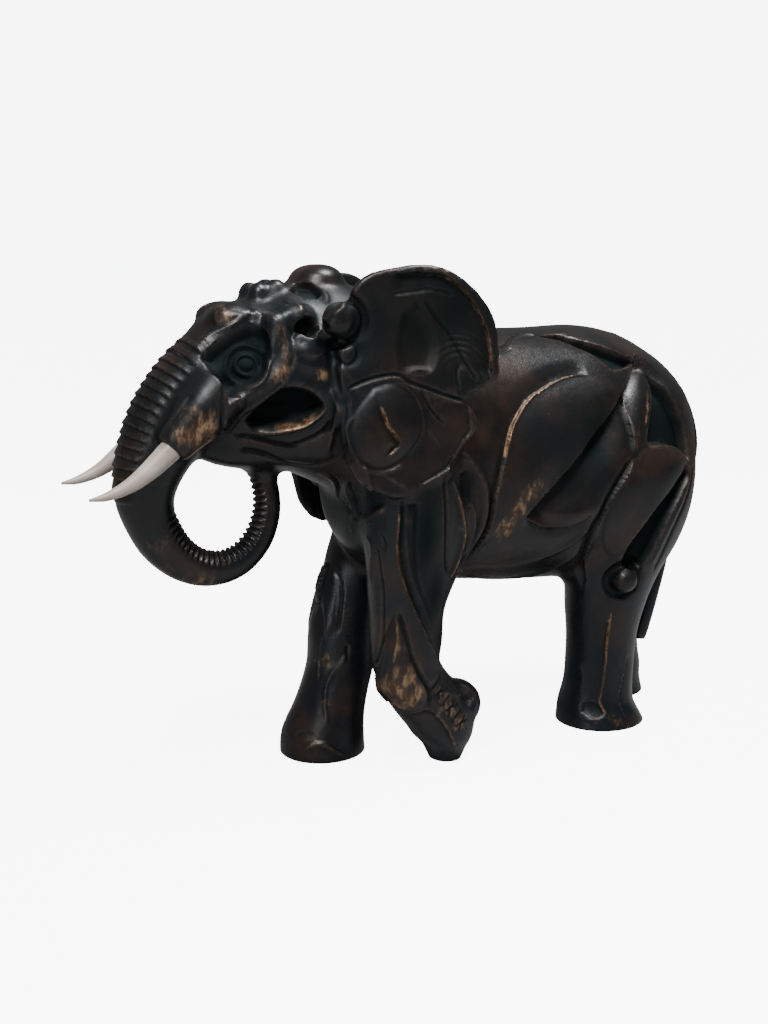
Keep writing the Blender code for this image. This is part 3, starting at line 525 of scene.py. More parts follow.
# Gold lines on worn edges: route, side, width, strength
GILT_LINES = (
    (((112, 264), (95, 261), (82, 256), (73, 252), (63, 244), (54, 233), (50, 223), (47, 212)),
     NEAR, 0.8, 1.0),
    (((47, 212), (44, 198), (42, 185)), NEAR, 0.7, 0.55),
    (((148, 251), (135, 238), (125, 229), (113, 219), (101, 207)), NEAR, 0.5, 0.35),
    (((101, 207), (88, 195), (77, 184), (67, 172)), NEAR, 0.8, 0.75),
    (((177, 254), (170, 240), (164, 227)), NEAR, 1.0, 0.8),
    (((200, 197), (188, 185), (174, 169), (166, 156), (159, 144)), NEAR, 0.5, 0.55),
    (((-28, 185), (-28, 160), (-25, 143), (-18, 124), (-12, 112), (-2, 92), (8, 75)),
     NEAR, 0.8, 0.8),
    (((-42, 253), (-38, 240), (-34, 234), (-30, 227)), NEAR, 0.8, 1.0),
    (((-30, 227), (-35, 222), (-41, 219)), NEAR, 0.8, 0.6),
    (((-5, 331), (6, 324), (12, 318), (17, 311), (22, 302), (25, 294), (27, 283), (28, 270)),
     NEAR, 0.8, 0.7),
    (((-103, 236), (-90, 238), (-82, 241), (-75, 247)), NEAR, 1.0, 0.9),
    (((10, 194), (17, 174), (20, 161), (17, 145), (11, 133)), NEAR, 0.9, 0.8),
    (((28, 177), (30, 165), (29, 154)), NEAR, 0.8, 0.5),
    (((35, 165), (34, 154), (28, 146)), NEAR, 0.8, 0.5),
    (((156, 90), (156, 66), (155, 48), (153, 31), (151, 20), (155, 10)), NEAR, 0.8, 0.8),
    (((173, 55), (171, 38), (168, 24)), NEAR, 0.7, 0.35),
    (((0, 43), (7, 36), (15, 22), (20, 13)), NEAR, 1.0, 0.8),
    (((-25, 110), (-25, 96), (-27, 80)), NEAR, 1.0, 0.8),
    (((-44, 74), (-49, 67), (-55, 61)), NEAR, 2.0, 0.5),
    (((-48, 55), (-52, 38), (-53, 24)), NEAR, 1.5, 0.3),
    (((-136, 248), (-134, 236), (-136, 226)), NEAR, 0.8, 0.7),
)
# Places where the dark patina is rubbed down to gold: x, side, z, radius, strength
RUBBED = (
    (-150, -1, 238, 15, 0.9), (-157, -1, 250, 8, 0.6), (-141, -1, 230, 7, 0.8),
    (-19, -1, 70, 13, 0.7), (-22, -1, 92, 7, 0.5), (12, -1, 47, 13, 0.62), (20, -1, 34, 10, 0.6),
    (-142, 0, 133, 20, 0.62), (-112, 0, 136, 12, 0.5), (-172, 0, 168, 12, 0.45),
    (-101, -1, 270, 6, 0.7), (-98, -1, 290, 5, 0.6), (-110, -1, 258, 6, 0.4),
    (160, -1, 8, 9, 0.5), (180, -1, 66, 12, 0.35), (168, -1, 46, 8, 0.35), (4, -1, 88, 8, 0.45),
    (-48, 0, 66, 7, 0.55), (-52, 0, 40, 6, 0.45), (-62, 0, 14, 8, 0.45),
    (18, -1, 170, 9, 0.45), (30, -1, 176, 6, 0.4), (-30, -1, 178, 5, 0.5),
    (-161, -1, 238, 9, 0.8), (-153, -1, 234, 9, 0.95), (-145, -1, 232, 8, 0.9),
    (-140, -1, 240, 7, 0.6), (-147, -1, 226, 8, 0.85), (-152, -1, 248, 7, 0.5),
    (-96, -1, 283, 5, 0.8), (-97, -1, 275, 5, 0.9), (-100, -1, 298, 5, 0.5),
    (-75, -1, 271, 5, 0.9), (-79, -1, 266, 4, 0.6), (-126, 0, 306, 7, 0.75),
    (-150, -1, 276, 5, 0.35), (-160, -1, 262, 6, 0.3), (-146, 0, 136, 16, 0.5),
    (-126, 0, 131, 12, 0.45), (-166, 0, 150, 10, 0.4), (60, -1, 178, 8, 1.0),
    (54, -1, 166, 9, 1.0), (66, -1, 188, 7, 0.9), (73, -1, 195, 6, 0.6), (48, -1, 155, 6, 0.4),
    (-24, -1, 64, 9, 0.8), (-14, -1, 58, 9, 0.85), (-19, -1, 52, 9, 0.8), (-25, -1, 76, 5, 0.6),
    (-22, -1, 176, 5, 0.5), (-24, -1, 160, 5, 0.35), (-37, -1, 183, 4, 0.5),
    (9, -1, 205, 5, 0.5), (25, -1, 158, 6, 0.5), (-44, 0, 73, 5, 0.5),
    (-64, 0, 12, 5, 0.35), (-66, 0, 24, 4, 0.35), (148, -1, 5, 5, 0.5), (0, -1, 96, 6, 0.35),
    (104, -1, 258, 1.2, 1.3), (84, -1, 239, 1.2, 1.2), (82, -1, 221, 0.9, 0.9),
    (-161, 1, 238, 9, 0.8), (-150, 1, 233, 9, 0.9), (-97, 1, 279, 6, 0.7), (-75, 1, 271, 5, 0.7),
    (56, 1, 170, 9, 0.6), (12, 1, 190, 9, 0.4), (-30, 1, 70, 9, 0.4), (186, 1, 30, 7, 0.35),
)

# The layers of patina and painted shade (the hollow layer holds painted shade as well as dark
# patina), and the relief in metres and rounds of evening out that make the first two
PATINA_AND_SHADE = ("worn", "hollow", "gilt", "patch")
FINE_RELIEF, FINE_ROUNDS = 0.12 * UNIT, 4
BROAD_RELIEF, BROAD_ROUNDS = 0.6 * UNIT, 24
# How much of the wear comes from the fine relief, and of the hollows from the broad one
FINE_SHARE = 0.7
HOLLOW_SHARE = 0.7
# Colours of the bronze and of the tusks
BLACK_BROWN = (0.0050, 0.0045, 0.0046)
WARM_BROWN = (0.024, 0.0135, 0.0095)
BLUE_BLACK = (0.0050, 0.0068, 0.0085)
LEG_BLACK = (0.0036, 0.0056, 0.0090)
# HOLLOW_GREEN: the dark green patina of the hollows, also laid on as painted shade
HOLLOW_GREEN = (0.0034, 0.0088, 0.0092)
RIM_BROWN = (0.075, 0.048, 0.034)
DARK_GOLD = (0.11, 0.057, 0.030)
LIGHT_GOLD = (0.40, 0.25, 0.14)
IVORY = (0.50, 0.44, 0.39)
DARK_IVORY = (0.40, 0.33, 0.28)
IVORY_STREAK = (0.30, 0.235, 0.19)
# The heights between which the legs turn blue-black, in metres
LEG_TINT_TOP, LEG_TINT_FULL = 0.19, 0.11
# How bright the floor and backdrop are to the eye, and the room on the object
FLOOR_GLOW = 7.6
BACKDROP_GLOW = 7.6
ROOM_GLOW = 0.20
ROOM_COLOUR = (0.97, 0.985, 1.0, 1)
# Half the floor's width in metres, and its grey as it lights the object and as it is seen
FLOOR_HALF = 6
FLOOR_GREY_LIT, FLOOR_GREY_SEEN = (0.35, 0.35, 0.35), (0.86, 0.86, 0.86)
# Lights: name, place, diameter and watts, all aimed at one point
LIGHTS = (
    ("key", (-0.60, -0.70, 1.30), 0.36, 18),
    ("top", (0.30, -0.25, 1.5), 0.50, 30),
    ("side", (-1.3, -0.9, 0.55), 0.5, 3),
)
LIGHT_AIM = (0, 0, 0.18)


def smooth_step(amount):
    t = np.clip(amount, 0, 1)
    return t * t * (3 - 2 * t)


def spline(points, per_span):
    """A Catmull-Rom curve through the rows of points, with per_span samples to a span."""
    rows = np.array(points, float)
    padded = np.vstack([2 * rows[0] - rows[1], rows, 2 * rows[-1] - rows[-2]])
    found = []
    for i in range(len(rows) - 1):
        a, b, c, d = padded[i:i + 4]
        for t in np.arange(per_span) / per_span:
            found.append(0.5 * (2 * b + (c - a) * t + (2 * a - 5 * b + 4 * c - d) * t**2
                                + (3 * b - a - 3 * c + d) * t**3))
    found.append(rows[-1])
    return np.array(found)


def link(name, data):
    obj = bpy.data.objects.new(name, data)
    bpy.context.scene.collection.objects.link(obj)
    return obj


def mesh_object(name, points, faces):
    mesh = bpy.data.meshes.new(name)
    mesh.from_pydata([tuple(p) for p in points], [], faces)
    form = bmesh.new()
    form.from_mesh(mesh)
    bmesh.ops.recalc_face_normals(form, faces=form.faces)
    form.to_mesh(mesh)
    form.free()
    return link(name, mesh)


def skin_rings(name, rings):
    """A closed body through rings of equally many points, with a fan at each end."""
    count, sides = len(rings), len(rings[0])
    points = np.vstack([*rings, rings[0].mean(0), rings[-1].mean(0)])
    faces = []
    for r in range(count - 1):
        for s in range(sides):
            a, b = r * sides + s, r * sides + (s + 1) % sides
            faces.append((a, b, b + sides, a + sides))
    first, last = count * sides, count * sides + 1
    for s in range(sides):
        n = (s + 1) % sides
        faces.append((first, n, s))
        faces.append((last, (count - 1) * sides + s, (count - 1) * sides + n))
    return mesh_object(name, points, faces)


def circle_of(sides):
    turns = np.arange(sides) * 2 * math.pi / sides
    return np.cos(turns), np.sin(turns)


def barrel(name, stations):
    """A body of upright elliptical rings set along X."""
    c, s = circle_of(RING_SIDES)
    rings = []
    for x, low, high, half in spline(stations, RINGS_PER_STATION) * UNIT:
        middle, tall = (low + high) / 2, (high - low) / 2
        rings.append(np.stack([np.full(RING_SIDES, x), half * c, middle + tall * s], 1))
    return skin_rings(name, rings)


def column(name, stations):
    """A body of level elliptical rings, one above another."""
    c, s = circle_of(RING_SIDES)
    rings = []
    for z, x, y, along, across in spline(stations, RINGS_PER_STATION) * UNIT:
        rings.append(np.stack([x + along * c, y + across * s, np.full(RING_SIDES, z)], 1))
    return skin_rings(name, rings)


def tube(name, rows, sides=RING_SIDES):
    """A body of elliptical rings square to a route, from rows in metres."""
    c, s = circle_of(sides)
    way = np.gradient(rows[:, :3], axis=0)
    way /= np.linalg.norm(way, axis=1)[:, None]
    rings = []
    for row, along in zip(rows, way):
        across = np.array((0, 1.0, 0)) - along * along[1]
        across /= np.linalg.norm(across)
        normal = np.cross(along, across)
        rings.append(row[:3] + np.outer(row[3] * c, across) + np.outer(row[4] * s, normal))
    return skin_rings(name, rings)


def drawn_tube(name, stations):
    return tube(name, spline(stations, RINGS_PER_STATION) * UNIT)


def lump(name, centre, radii):
    form = bmesh.new()
    bmesh.ops.create_icosphere(form, subdivisions=3, radius=1.0)
    for vertex in form.verts:
        vertex.co = (Vector([c * r for c, r in zip(vertex.co, radii)]) + Vector(centre)) * UNIT
    mesh = bpy.data.meshes.new(name)
    form.to_mesh(mesh)
    form.free()
    return link(name, mesh)


def settle(obj):
    """Turns the modifiers of an object into its mesh."""
    bpy.context.view_layer.update()
    shown = obj.evaluated_get(bpy.context.evaluated_depsgraph_get())
    mesh = bpy.data.meshes.new_from_object(shown)
    obj.modifiers.clear()
    obj.data = mesh


def fuse(name, parts, voxel, smoothing):
    """One skin over overlapping bodies, with its joins smoothed."""
    form = bmesh.new()
    for part in parts:
        form.from_mesh(part.data)
    mesh = bpy.data.meshes.new(name)
    form.to_mesh(mesh)
    form.free()
    obj = link(name, mesh)
    remesh = obj.modifiers.new("skin", "REMESH")
    remesh.mode = "VOXEL"
    remesh.voxel_size = voxel
    smooth = obj.modifiers.new("joins", "SMOOTH")
    smooth.factor = 0.5
    smooth.iterations = smoothing
    settle(obj)
    for part in parts:
        bpy.data.objects.remove(part)
    return obj


def ear_out(x, z):
    """How far the front of an ear stands from the middle at a place in its outline."""
    flare = 55 + 0.26 * (x + 66)
    dish = ((x - EAR_MIDDLE[0]) ** 2 + (z - EAR_MIDDLE[1]) ** 2) / 900
    return flare + 0.8 * dish


def ear_place(x, z, side):
    """Where a place in the drawn ear lies. The far ear hangs lower and further back."""
    if side == NEAR:
        return x, z
    hang = ((EAR_TOP - z) / (EAR_TOP - EAR_BOTTOM)) ** 3
    return x + FAR_EAR_SHIFT, z - FAR_EAR_SINK - FAR_EAR_DROOP * hang


def ear_plate(name, side):
    outline = np.array(EAR_OUTLINE, float)
    loop = spline(np.vstack([outline, outline[:1]]), 3)[:-1]
    middle = np.array(EAR_MIDDLE, float)
    spans = np.linspace(0.1, 1, 14)
    layers = []
    for thick in (0, EAR_THICKNESS):
        for span in (spans if thick == 0 else spans[::-1]):
            x, z = (middle + (loop - middle) * span).T
            out = ear_out(x, z) - thick
            x, z = ear_place(x, z, side)
            layers.append(np.stack([x, side * out, z], 1) * UNIT)
    return skin_rings(name, layers)


def tusk(name, side):
    """A tusk with its root in the socket, tapering to its tip."""
    points = np.array([(x, side * out, z) for x, out, z in TUSK]) * UNIT
    way = points[0] - points[1]
    way /= np.linalg.norm(way)
    points = np.vstack([points[0] + way * SOCKET_DEPTH, points])
    route = spline(points, 4)
    along = np.linspace(0, 1, len(route))
    taper = np.clip((along - TUSK_STRAIGHT) / (1 - TUSK_STRAIGHT), 0, 1) ** TUSK_TAPER
    radius = TUSK_RADIUS - (TUSK_RADIUS - TUSK_TIP_RADIUS) * taper
    return tube(name, np.column_stack([route, radius, radius]), sides=TUSK_SIDES)


def sheath(name, side):
    """The sleeve of the cheek that holds a tusk."""
    mouth = np.array((TUSK[0][0], side * TUSK[0][1], TUSK[0][2])) * UNIT
    root = np.array((SHEATH_ROOT[0], side * SHEATH_ROOT[1], SHEATH_ROOT[2])) * UNIT
    lip = TUSK_RADIUS + SHEATH_WALL
    rows = [(*(mouth + (root - mouth) * share), lip * swell, lip * swell)
            for share, swell in SHEATH_PROFILE]
    return tube(name, spline(rows, 6))


def read_points(mesh):
    flat = np.empty(len(mesh.vertices) * 3)
    mesh.vertices.foreach_get("co", flat)
    return flat.reshape(-1, 3)


def read_normals(mesh):
    flat = np.empty(len(mesh.vertices) * 3)
    mesh.vertex_normals.foreach_get("vector", flat)
    return flat.reshape(-1, 3)


class Skin:
    """The vertices of a dense mesh, carved along their normals and tinted."""

    def __init__(self, obj):
        self.mesh = obj.data
        self.points = read_points(self.mesh)
        self.normals = read_normals(self.mesh)
        self.tree = BVHTree.FromPolygons(
            self.points.tolist(), [tuple(face.vertices) for face in self.mesh.polygons])
        self.from_middle = OUTSIDE
        self.lift, self.sunk, self.gold, self.patch = np.zeros((4, len(self.points)))

    def finish(self):
        moved = self.points + self.normals * self.lift[:, None]
        self.mesh.vertices.foreach_set("co", moved.ravel())
        self.mesh.update()

    def hit(self, x, side, z):
        """Where a ray from that side meets the skin, and the normal there."""
        place, normal, index, far = self.tree.ray_cast(
            (x, side * self.from_middle * UNIT, z), (0, -side, 0))
        return place, normal

    def lay(self, drawn, side, closed=False):
        """A curve drawn on the side view, laid on that side of the skin, and the drawn curve."""
        rows = np.array(drawn, float)
        if closed:
            rows = np.vstack([rows, rows[:1]])
        smooth = spline(rows, 8) * UNIT
        steps = np.linalg.norm(np.diff(smooth, axis=0), axis=1)
        run = np.concatenate([[0], np.cumsum(steps)])
        even = np.linspace(0, run[-1], max(int(run[-1] / CURVE_STEP), 4))
        flat = np.stack([np.interp(even, run, smooth[:, k]) for k in (0, 1)], 1)
        found = []
        for x, z in flat:
            place, normal = self.hit(x, side, z)
            if place is not None:
                found.append((*place, *normal))
        return np.array(found), flat

    def near_to(self, curve, side, reach):
        """The vertices within reach of a laid curve, with their nearest place on it."""
        low, high = curve[:, :3].min(0) - reach, curve[:, :3].max(0) + reach
        chosen = np.all((self.points > low) & (self.points < high), axis=1)
        chosen &= self.normals[:, 1] * side > LINE_FACING
        index = np.flatnonzero(chosen)
        nearest, distance = closest(self.points[index], curve[:, :3])
        kept = distance < reach
        return index[kept], nearest[kept], distance[kept]

    def brush(self, drawn, side, width, reach):
        """The vertices along a drawn curve, how much it touches each, and how near its ends."""
        curve, flat = self.lay(drawn, side)
        index, nearest, distance = self.near_to(curve, side, width * UNIT * reach)
        ends = from_ends(nearest, curve, LINE_FADE)
        return index, np.exp(-((distance / (width * UNIT)) ** 2)), ends

    def line(self, drawn, side, height, width):
        """A ridge, or with a height below zero a groove, along a drawn curve."""
        index, touch, ends = self.brush(drawn, side, width, LINE_REACH)
        self.lift[index] += height * UNIT * touch * smooth_step(ends + LINE_START)

    def line_shade(self, drawn, side, width):
        """Keeps the patina black along a drawn curve."""
        index, touch, ends = self.brush(drawn, side, width, LINE_REACH)
        self.sunk[index] = np.maximum(self.sunk[index], touch)

    def gild(self, drawn, side, width, strength):
        """Wears a line of gold along a drawn curve."""
        index, touch, ends = self.brush(drawn, side, width, GILT_REACH)
        worn = strength * touch * smooth_step(ends + GILT_START)
        self.gold[index] = np.maximum(self.gold[index], worn)

    def plate(self, drawn, side, drop, slope, crest):
        """The edge of an overlapping plate: the skin on one side lies lower and climbs back."""
        curve, flat = self.lay(drawn, side)
        reach = abs(slope) * UNIT
        index, nearest, distance = self.near_to(curve, side, reach)
        way = np.gradient(curve[:, :3], axis=0)
        away = self.points[index] - curve[nearest, :3]
        across = np.cross(way[nearest], curve[nearest, 3:])
        turn = -side * math.copysign(1, slope)
        signed = np.sign((away * across).sum(1)) * distance * turn
        climb = 1 - smooth_step(np.maximum(signed, 0) / reach) ** PLATE_CLIMB
        fall = smooth_step(signed / (PLATE_STEP * UNIT) + 0.5) * climb
        rise = np.exp(-((signed / (PLATE_CREST * UNIT)) ** 2)) * (signed < 0)
        ends = smooth_step(from_ends(nearest, curve, PLATE_FADE) + PLATE_START)
        self.lift[index] += UNIT * (crest * rise - drop * fall) * ends

    def field(self, drawn, side, height, edge, dome):
        """A raised or sunk field inside an outline, with an edge and a dome or a bowl."""
        curve, flat = self.lay(drawn, side, closed=True)
        low, high = flat.min(0), flat.max(0)
        x, z = self.points[:, 0], self.points[:, 2]
        chosen = (x > low[0]) & (x < high[0]) & (z > low[1]) & (z < high[1])
        chosen &= self.normals[:, 1] * side > FIELD_FACING
        chosen &= abs(self.points[:, 1] - np.median(curve[:, 1])) < FIELD_DEPTH * UNIT
        index = np.flatnonzero(chosen)
        index = index[inside(flat, self.points[index][:, (0, 2)])]
        nearest, distance = closest(self.points[index], curve[:, :3])
        rise = smooth_step(distance / (edge * UNIT))
        deep = np.minimum(distance / distance.max(), 1)
        self.lift[index] += UNIT * (height * rise + dome * (1 - (1 - deep) ** 2))
        # Sunk fields are painted dark the deeper they lie: dark patina in the hollow, and painted
        # shade.
        if height < 0:
            self.sunk[index] = np.maximum(self.sunk[index], rise * min(-height / DARK_DEPTH, 1))

    def round_about(self, x, z, along, tall):
        """A soft round spot about a place: 1 in its middle, falling away outwards."""
        away = np.hypot((self.points[:, 0] / UNIT - x) / along,
                        (self.points[:, 2] / UNIT - z) / tall)
        return np.exp(-(away**2))

    def swell(self, x, side, z, along, tall, height):
        """A soft bulge, or with a height below zero a soft hollow."""
        facing = smooth_step(self.normals[:, 1] * side * 2 + 0.3)
        self.lift += height * UNIT * self.round_about(x, z, along, tall) * facing

    def darken(self, x, side, z, along, tall, strength):
        """Paints the skin dark round a place: dark patina, and painted shade."""
        shade = strength * self.round_about(x, z, along, tall)
        shade *= self.normals[:, 1] * side > TINT_FACING
        self.sunk = np.maximum(self.sunk, shade)

    def rub(self, x, side, z, radius, strength):
        """Wears a round patch of the patina, on one side or, where side is 0, on both."""
        patch = PATCH_STRENGTH * strength * self.round_about(x, z, radius, radius)
        if side:
            patch *= self.normals[:, 1] * side > TINT_FACING
            patch *= self.points[:, 1] * side > RUBBED_FROM * UNIT
        self.patch = np.maximum(self.patch, patch)

    def turned(self, side, x, z, tall, profile):
        """A round form about a place: heights over the radius, taller than wide by tall."""
        middle, normal = self.hit(x * UNIT, side, z * UNIT)
        away = self.points / UNIT - (x, 0, z)
        radius = np.hypot(away[:, 0], away[:, 2] / tall)
        chosen = (radius < profile[-1][0]) & (self.normals[:, 1] * side > FIELD_FACING)
        chosen &= abs(self.points[:, 1] - middle[1]) < FIELD_DEPTH / 2 * UNIT
        index = np.flatnonzero(chosen)
        fine = np.arange(0, profile[-1][0] + PROFILE_STEP, PROFILE_STEP)
        heights = np.pad(np.interp(fine, *np.array(profile).T), PROFILE_EASE, mode="edge")
        window = 2 * PROFILE_EASE + 1
        eased = np.convolve(heights, np.ones(window) / window, mode="valid")
        self.lift[index] += UNIT * np.interp(radius[index], fine, eased)

    def ripples(self, side):
        """Wavy ribs round a place in the upper half of an ear."""
        x, z = self.points[:, 0] / UNIT - RIPPLE_CENTRE[0], self.points[:, 2] / UNIT
        radius = np.hypot(x, z - RIPPLE_CENTRE[1])
        chosen = (radius > RIPPLE_FROM) & (radius < RIPPLE_TO) & (z > RIPPLE_CENTRE[1] - 2)
        chosen &= (self.normals[:, 1] * side > 0.3) & (abs(x) < RIPPLE_WIDE)
        chosen &= self.points[:, 1] * side > RIPPLE_OUT * UNIT
        index = np.flatnonzero(chosen)
        share = (radius[index] - RIPPLE_FROM) / (RIPPLE_TO - RIPPLE_FROM)
        fade = np.sin(math.pi * share) * (1 - smooth_step(abs(x[index]) / RIPPLE_WIDE))
        wave = np.cos(2 * math.pi * (radius[index] + x[index] * RIPPLE_BEND) / RIPPLE_STEP)
        self.lift[index] += RIPPLE_DEPTH * UNIT * wave * fade


def from_ends(nearest, curve, fade):
    """How far places of a curve are from its ends, over the length of the fade there."""
    return np.minimum(nearest, len(curve) - 1 - nearest) * CURVE_STEP / (fade * UNIT)


def closest(points, curve):
    """For each point, the nearest place of a curve and how far it is."""
    nearest = np.empty(len(points), int)
    distance = np.empty(len(points))
    for start in range(0, len(points), POINTS_AT_ONCE):
        part = slice(start, start + POINTS_AT_ONCE)
        square = ((points[part, None] - curve[None]) ** 2).sum(2)
        nearest[part] = square.argmin(1)
        distance[part] = np.sqrt(square.min(1))
    return nearest, distance


def inside(outline, places):
    """Which places lie inside a closed outline."""
    crossed = np.zeros(len(places), bool)
    x, z = places[:, 0], places[:, 1]
    for (x0, z0), (x1, z1) in zip(outline, np.roll(outline, -1, axis=0)):
        if z0 == z1:
            continue
        spans = (z0 > z) != (z1 > z)
        crossed ^= spans & (x < (x1 - x0) * (z - z0) / (z1 - z0) + x0)
    return crossed


def along_trunk(skin):
    """The vertices of the trunk: their share of its length, and how far they face outwards."""
    route = spline(TRUNK, 12) * UNIT
    run = np.concatenate([[0], np.cumsum(np.linalg.norm(np.diff(route[:, :3], axis=0), axis=1))])
    way = np.gradient(route[:, :3], axis=0)
    way /= np.linalg.norm(way, axis=1)[:, None]
    x, z = skin.points[:, 0], skin.points[:, 2]
    index = np.flatnonzero((x < TRUNK_BEFORE_X * UNIT) & (z < TRUNK_BELOW_Z * UNIT))
    nearest, distance = closest(skin.points[index], route[:, :3])
    away = skin.points[index] - route[nearest, :3]
    reached = distance < route[nearest, 3] * TRUNK_REACH
    normal = np.cross((0, 1.0, 0), way[nearest])
    outward = (away * normal).sum(1) / np.maximum(distance, 1e-9)
    place = run[nearest] + (away * way[nearest]).sum(1)
    return index[reached], (place / run[-1])[reached], outward[reached]


def carve_trunk(skin):
    """Overlapping bands round the outside of the trunk, and beads along its inside."""
    index, share, outward = along_trunk(skin)
    front = smooth_step((outward - 0.5) * 5) * (1 - smooth_step((share - BANDS_TO) * 14))
    front *= smooth_step((share - BANDS_FROM) * 30)
    bands = TRUNK_BAND_DEPTH * ((share * TRUNK_BANDS) % 1 - 0.5) * front
    inner = smooth_step(-outward * 3 - 0.8) * smooth_step((share - BEADS_FROM) * 20)
    inner *= 1 - smooth_step((share - BEADS_TO) * 15)
    beads = TRUNK_BEAD_DEPTH * np.cos(2 * math.pi * share * TRUNK_BEADS) * inner
    skin.lift[index] += UNIT * (bands + beads)


def carve_set(skin, side, fields, plates, lines, place=None):
    """Carves fields, plate edges and lines on one side, their places first moved by place."""
    for carver, rows in ((skin.field, fields), (skin.plate, plates), (skin.line, lines)):
        for route, *sizes in rows:
            moved = [place(x, z) for x, z in route] if place else route
            carver(moved, side, *sizes)


def carve_far_fore_leg(skin):
    """The straight leg, on the face towards the other leg and on its outer face."""
    for side in (NEAR, FAR):
        skin.from_middle = BETWEEN_LEGS if side == NEAR else OUTSIDE
        carve_set(skin, side, FAR_LEG_FIELDS, (), FAR_LEG_LINES)
        for z in np.linspace(RIB_TOP, RIB_BOTTOM, RIB_COUNT):
            rib = ((RIB_NEAR_X, z), ((RIB_NEAR_X + RIB_FAR_X) / 2, z), (RIB_FAR_X, z))
            skin.line(rib, side, RIB_HEIGHT, RIB_WIDTH)
    skin.from_middle = OUTSIDE


def carve_strokes(skin):
    """Slanting strokes in a row, cut into the foot of the near fore leg."""
    start, end, count = STROKE_ROW
    for i in range(count):
        x, z = np.array(start) + (np.array(end) - start) * i / (count - 1)
        along, up = STROKE_LEANS[i % len(STROKE_LEANS)]
        stroke = ((x, z), (x + along / 2, z + up / 2), (x + along, z + up))
        skin.line(stroke, NEAR, -STROKE_DEPTH, STROKE_WIDTH)
        skin.line_shade(stroke, NEAR, STROKE_WIDTH)


def carve(obj):
    skin = Skin(obj)
    for side in (NEAR, FAR):
        carve_set(skin, side, FLANK_FIELDS + HEAD_FIELDS + SHOULDER_FIELDS, FLANK_PLATES,
                  FLANK_LINES + HEAD_LINES + NECK_LINES + SHOULDER_LINES)
        for turn in HEAD_TURNS:
            skin.turned(side, *turn)
        carve_set(skin, side, EAR_FIELDS, EAR_PLATES, EAR_LINES,
                  lambda x, z: ear_place(x, z, side))
        shift = FAR_HIND_SHIFT if side == FAR else 0
        carve_set(skin, side, HIND_LEG_FIELDS, HIND_LEG_PLATES, HIND_LEG_LINES,
                  lambda x, z: (x + shift, z))
    skin.ripples(NEAR)
    skin.turned(NEAR, *LEG_BALL_TURN)
    carve_set(skin, NEAR, LEG_FIELDS, LEG_PLATES, LEG_LINES)
    carve_strokes(skin)
    carve_far_fore_leg(skin)
    carve_trunk(skin)
    for carver, rows in ((skin.swell, SWELLS), (skin.darken, SHADED),
                         (skin.gild, GILT_LINES), (skin.rub, RUBBED)):
        for row in rows:
            carver(*row)
    skin.finish()
    return skin


def body():
    mass = fuse("mass", [
        barrel("torso", TORSO), barrel("head", HEAD),
        column("near_fore", NEAR_FORE_LEG), column("far_fore", FAR_FORE_LEG),
        column("near_hind", NEAR_HIND_LEG), column("far_hind", FAR_HIND_LEG),
        drawn_tube("trunk", TRUNK), drawn_tube("lip", LIP), drawn_tube("web", WEB),
    ], MASS_VOXEL, MASS_SMOOTHING)
    forms = [mass, drawn_tube("bent_foot", BENT_FOOT), drawn_tube("tail", TAIL)]
    forms.append(lump("heel", HEEL[:3], HEEL[3:]))
    for side in (NEAR, FAR):
        forms += [ear_plate("ear", side), sheath("sheath", side)]
        forms += [lump("head_mass", (x, side * out, z), radii)
                  for x, out, z, *radii in HEAD_MASSES]
    forms = fuse("forms", forms, FORM_VOXEL, FORM_SMOOTHING)
    balls = [lump("ball", (x, side * out, z), (radius,) * 3)
             for side in (NEAR, FAR) for x, out, z, radius in HEAD_BALLS]
    x, out, z, radius = LEG_BALL
    balls.append(lump("leg_ball", (x, -out, z), (radius,) * 3))
    return fuse("bronze_elephant", [forms] + balls, SKIN_VOXEL, SKIN_SMOOTHING)


def stand(obj):
    """Cuts flat soles at z = 0."""
    form = bmesh.new()
    form.from_mesh(obj.data)
    cut = bmesh.ops.bisect_plane(
        form, geom=form.verts[:] + form.edges[:] + form.faces[:], dist=1e-7,
        plane_co=(0, 0, 0), plane_no=(0, 0, -1), clear_outer=True)
    edges = [e for e in cut["geom_cut"] if isinstance(e, bmesh.types.BMEdge)]
    bmesh.ops.holes_fill(form, edges=edges, sides=0)
    bmesh.ops.recalc_face_normals(form, faces=form.faces)
    form.to_mesh(obj.data)
    form.free()


def thin(obj, triangles):
    now = sum(len(face.vertices) - 2 for face in obj.data.polygons)
    step = obj.modifiers.new("thin", "DECIMATE")
    step.ratio = triangles / now
    settle(obj)


def subdivide(obj):
    step = obj.modifiers.new("dense", "SUBSURF")
    step.levels = 1
    step.render_levels = 1
    settle(obj)


def edge_pairs(mesh):
    pairs = np.empty(len(mesh.edges) * 2, int)
    mesh.edges.foreach_get("vertices", pairs)
    return pairs.reshape(-1, 2)


def even_out(values, pairs, rounds):
    """Averages a value of each vertex with those beside it."""
    count = np.bincount(pairs.ravel(), minlength=len(values))[:, None]
    for turn in range(rounds):
        total = np.zeros_like(values)
        for k in range(values.shape[1]):
            total[:, k] = np.bincount(pairs[:, 0], values[pairs[:, 1], k], len(values))
            total[:, k] += np.bincount(pairs[:, 1], values[pairs[:, 0], k], len(values))
        values = (values + total / count) / 2
    return values


def relief(mesh, rounds):
    """How far each vertex stands out of its surroundings, in metres."""
    points = read_points(mesh)
    calm = even_out(points, edge_pairs(mesh), rounds)
    return ((points - calm) * read_normals(mesh)).sum(1)


def paint(obj, source, values):
    """Stores the worn edges, hollows with their painted shade, gold lines and patches of the dense
    form on the thin one.
    """
    tree = KDTree(len(source))
    for i, place in enumerate(source):
        tree.insert(place, i)
    tree.balance()
    nearest = [tree.find(place)[1] for place in read_points(obj.data)]
    for name, value in values.items():
        layer = obj.data.attributes.new(name, "FLOAT", "POINT")
        layer.data.foreach_set("value", value[nearest].astype(np.float32))


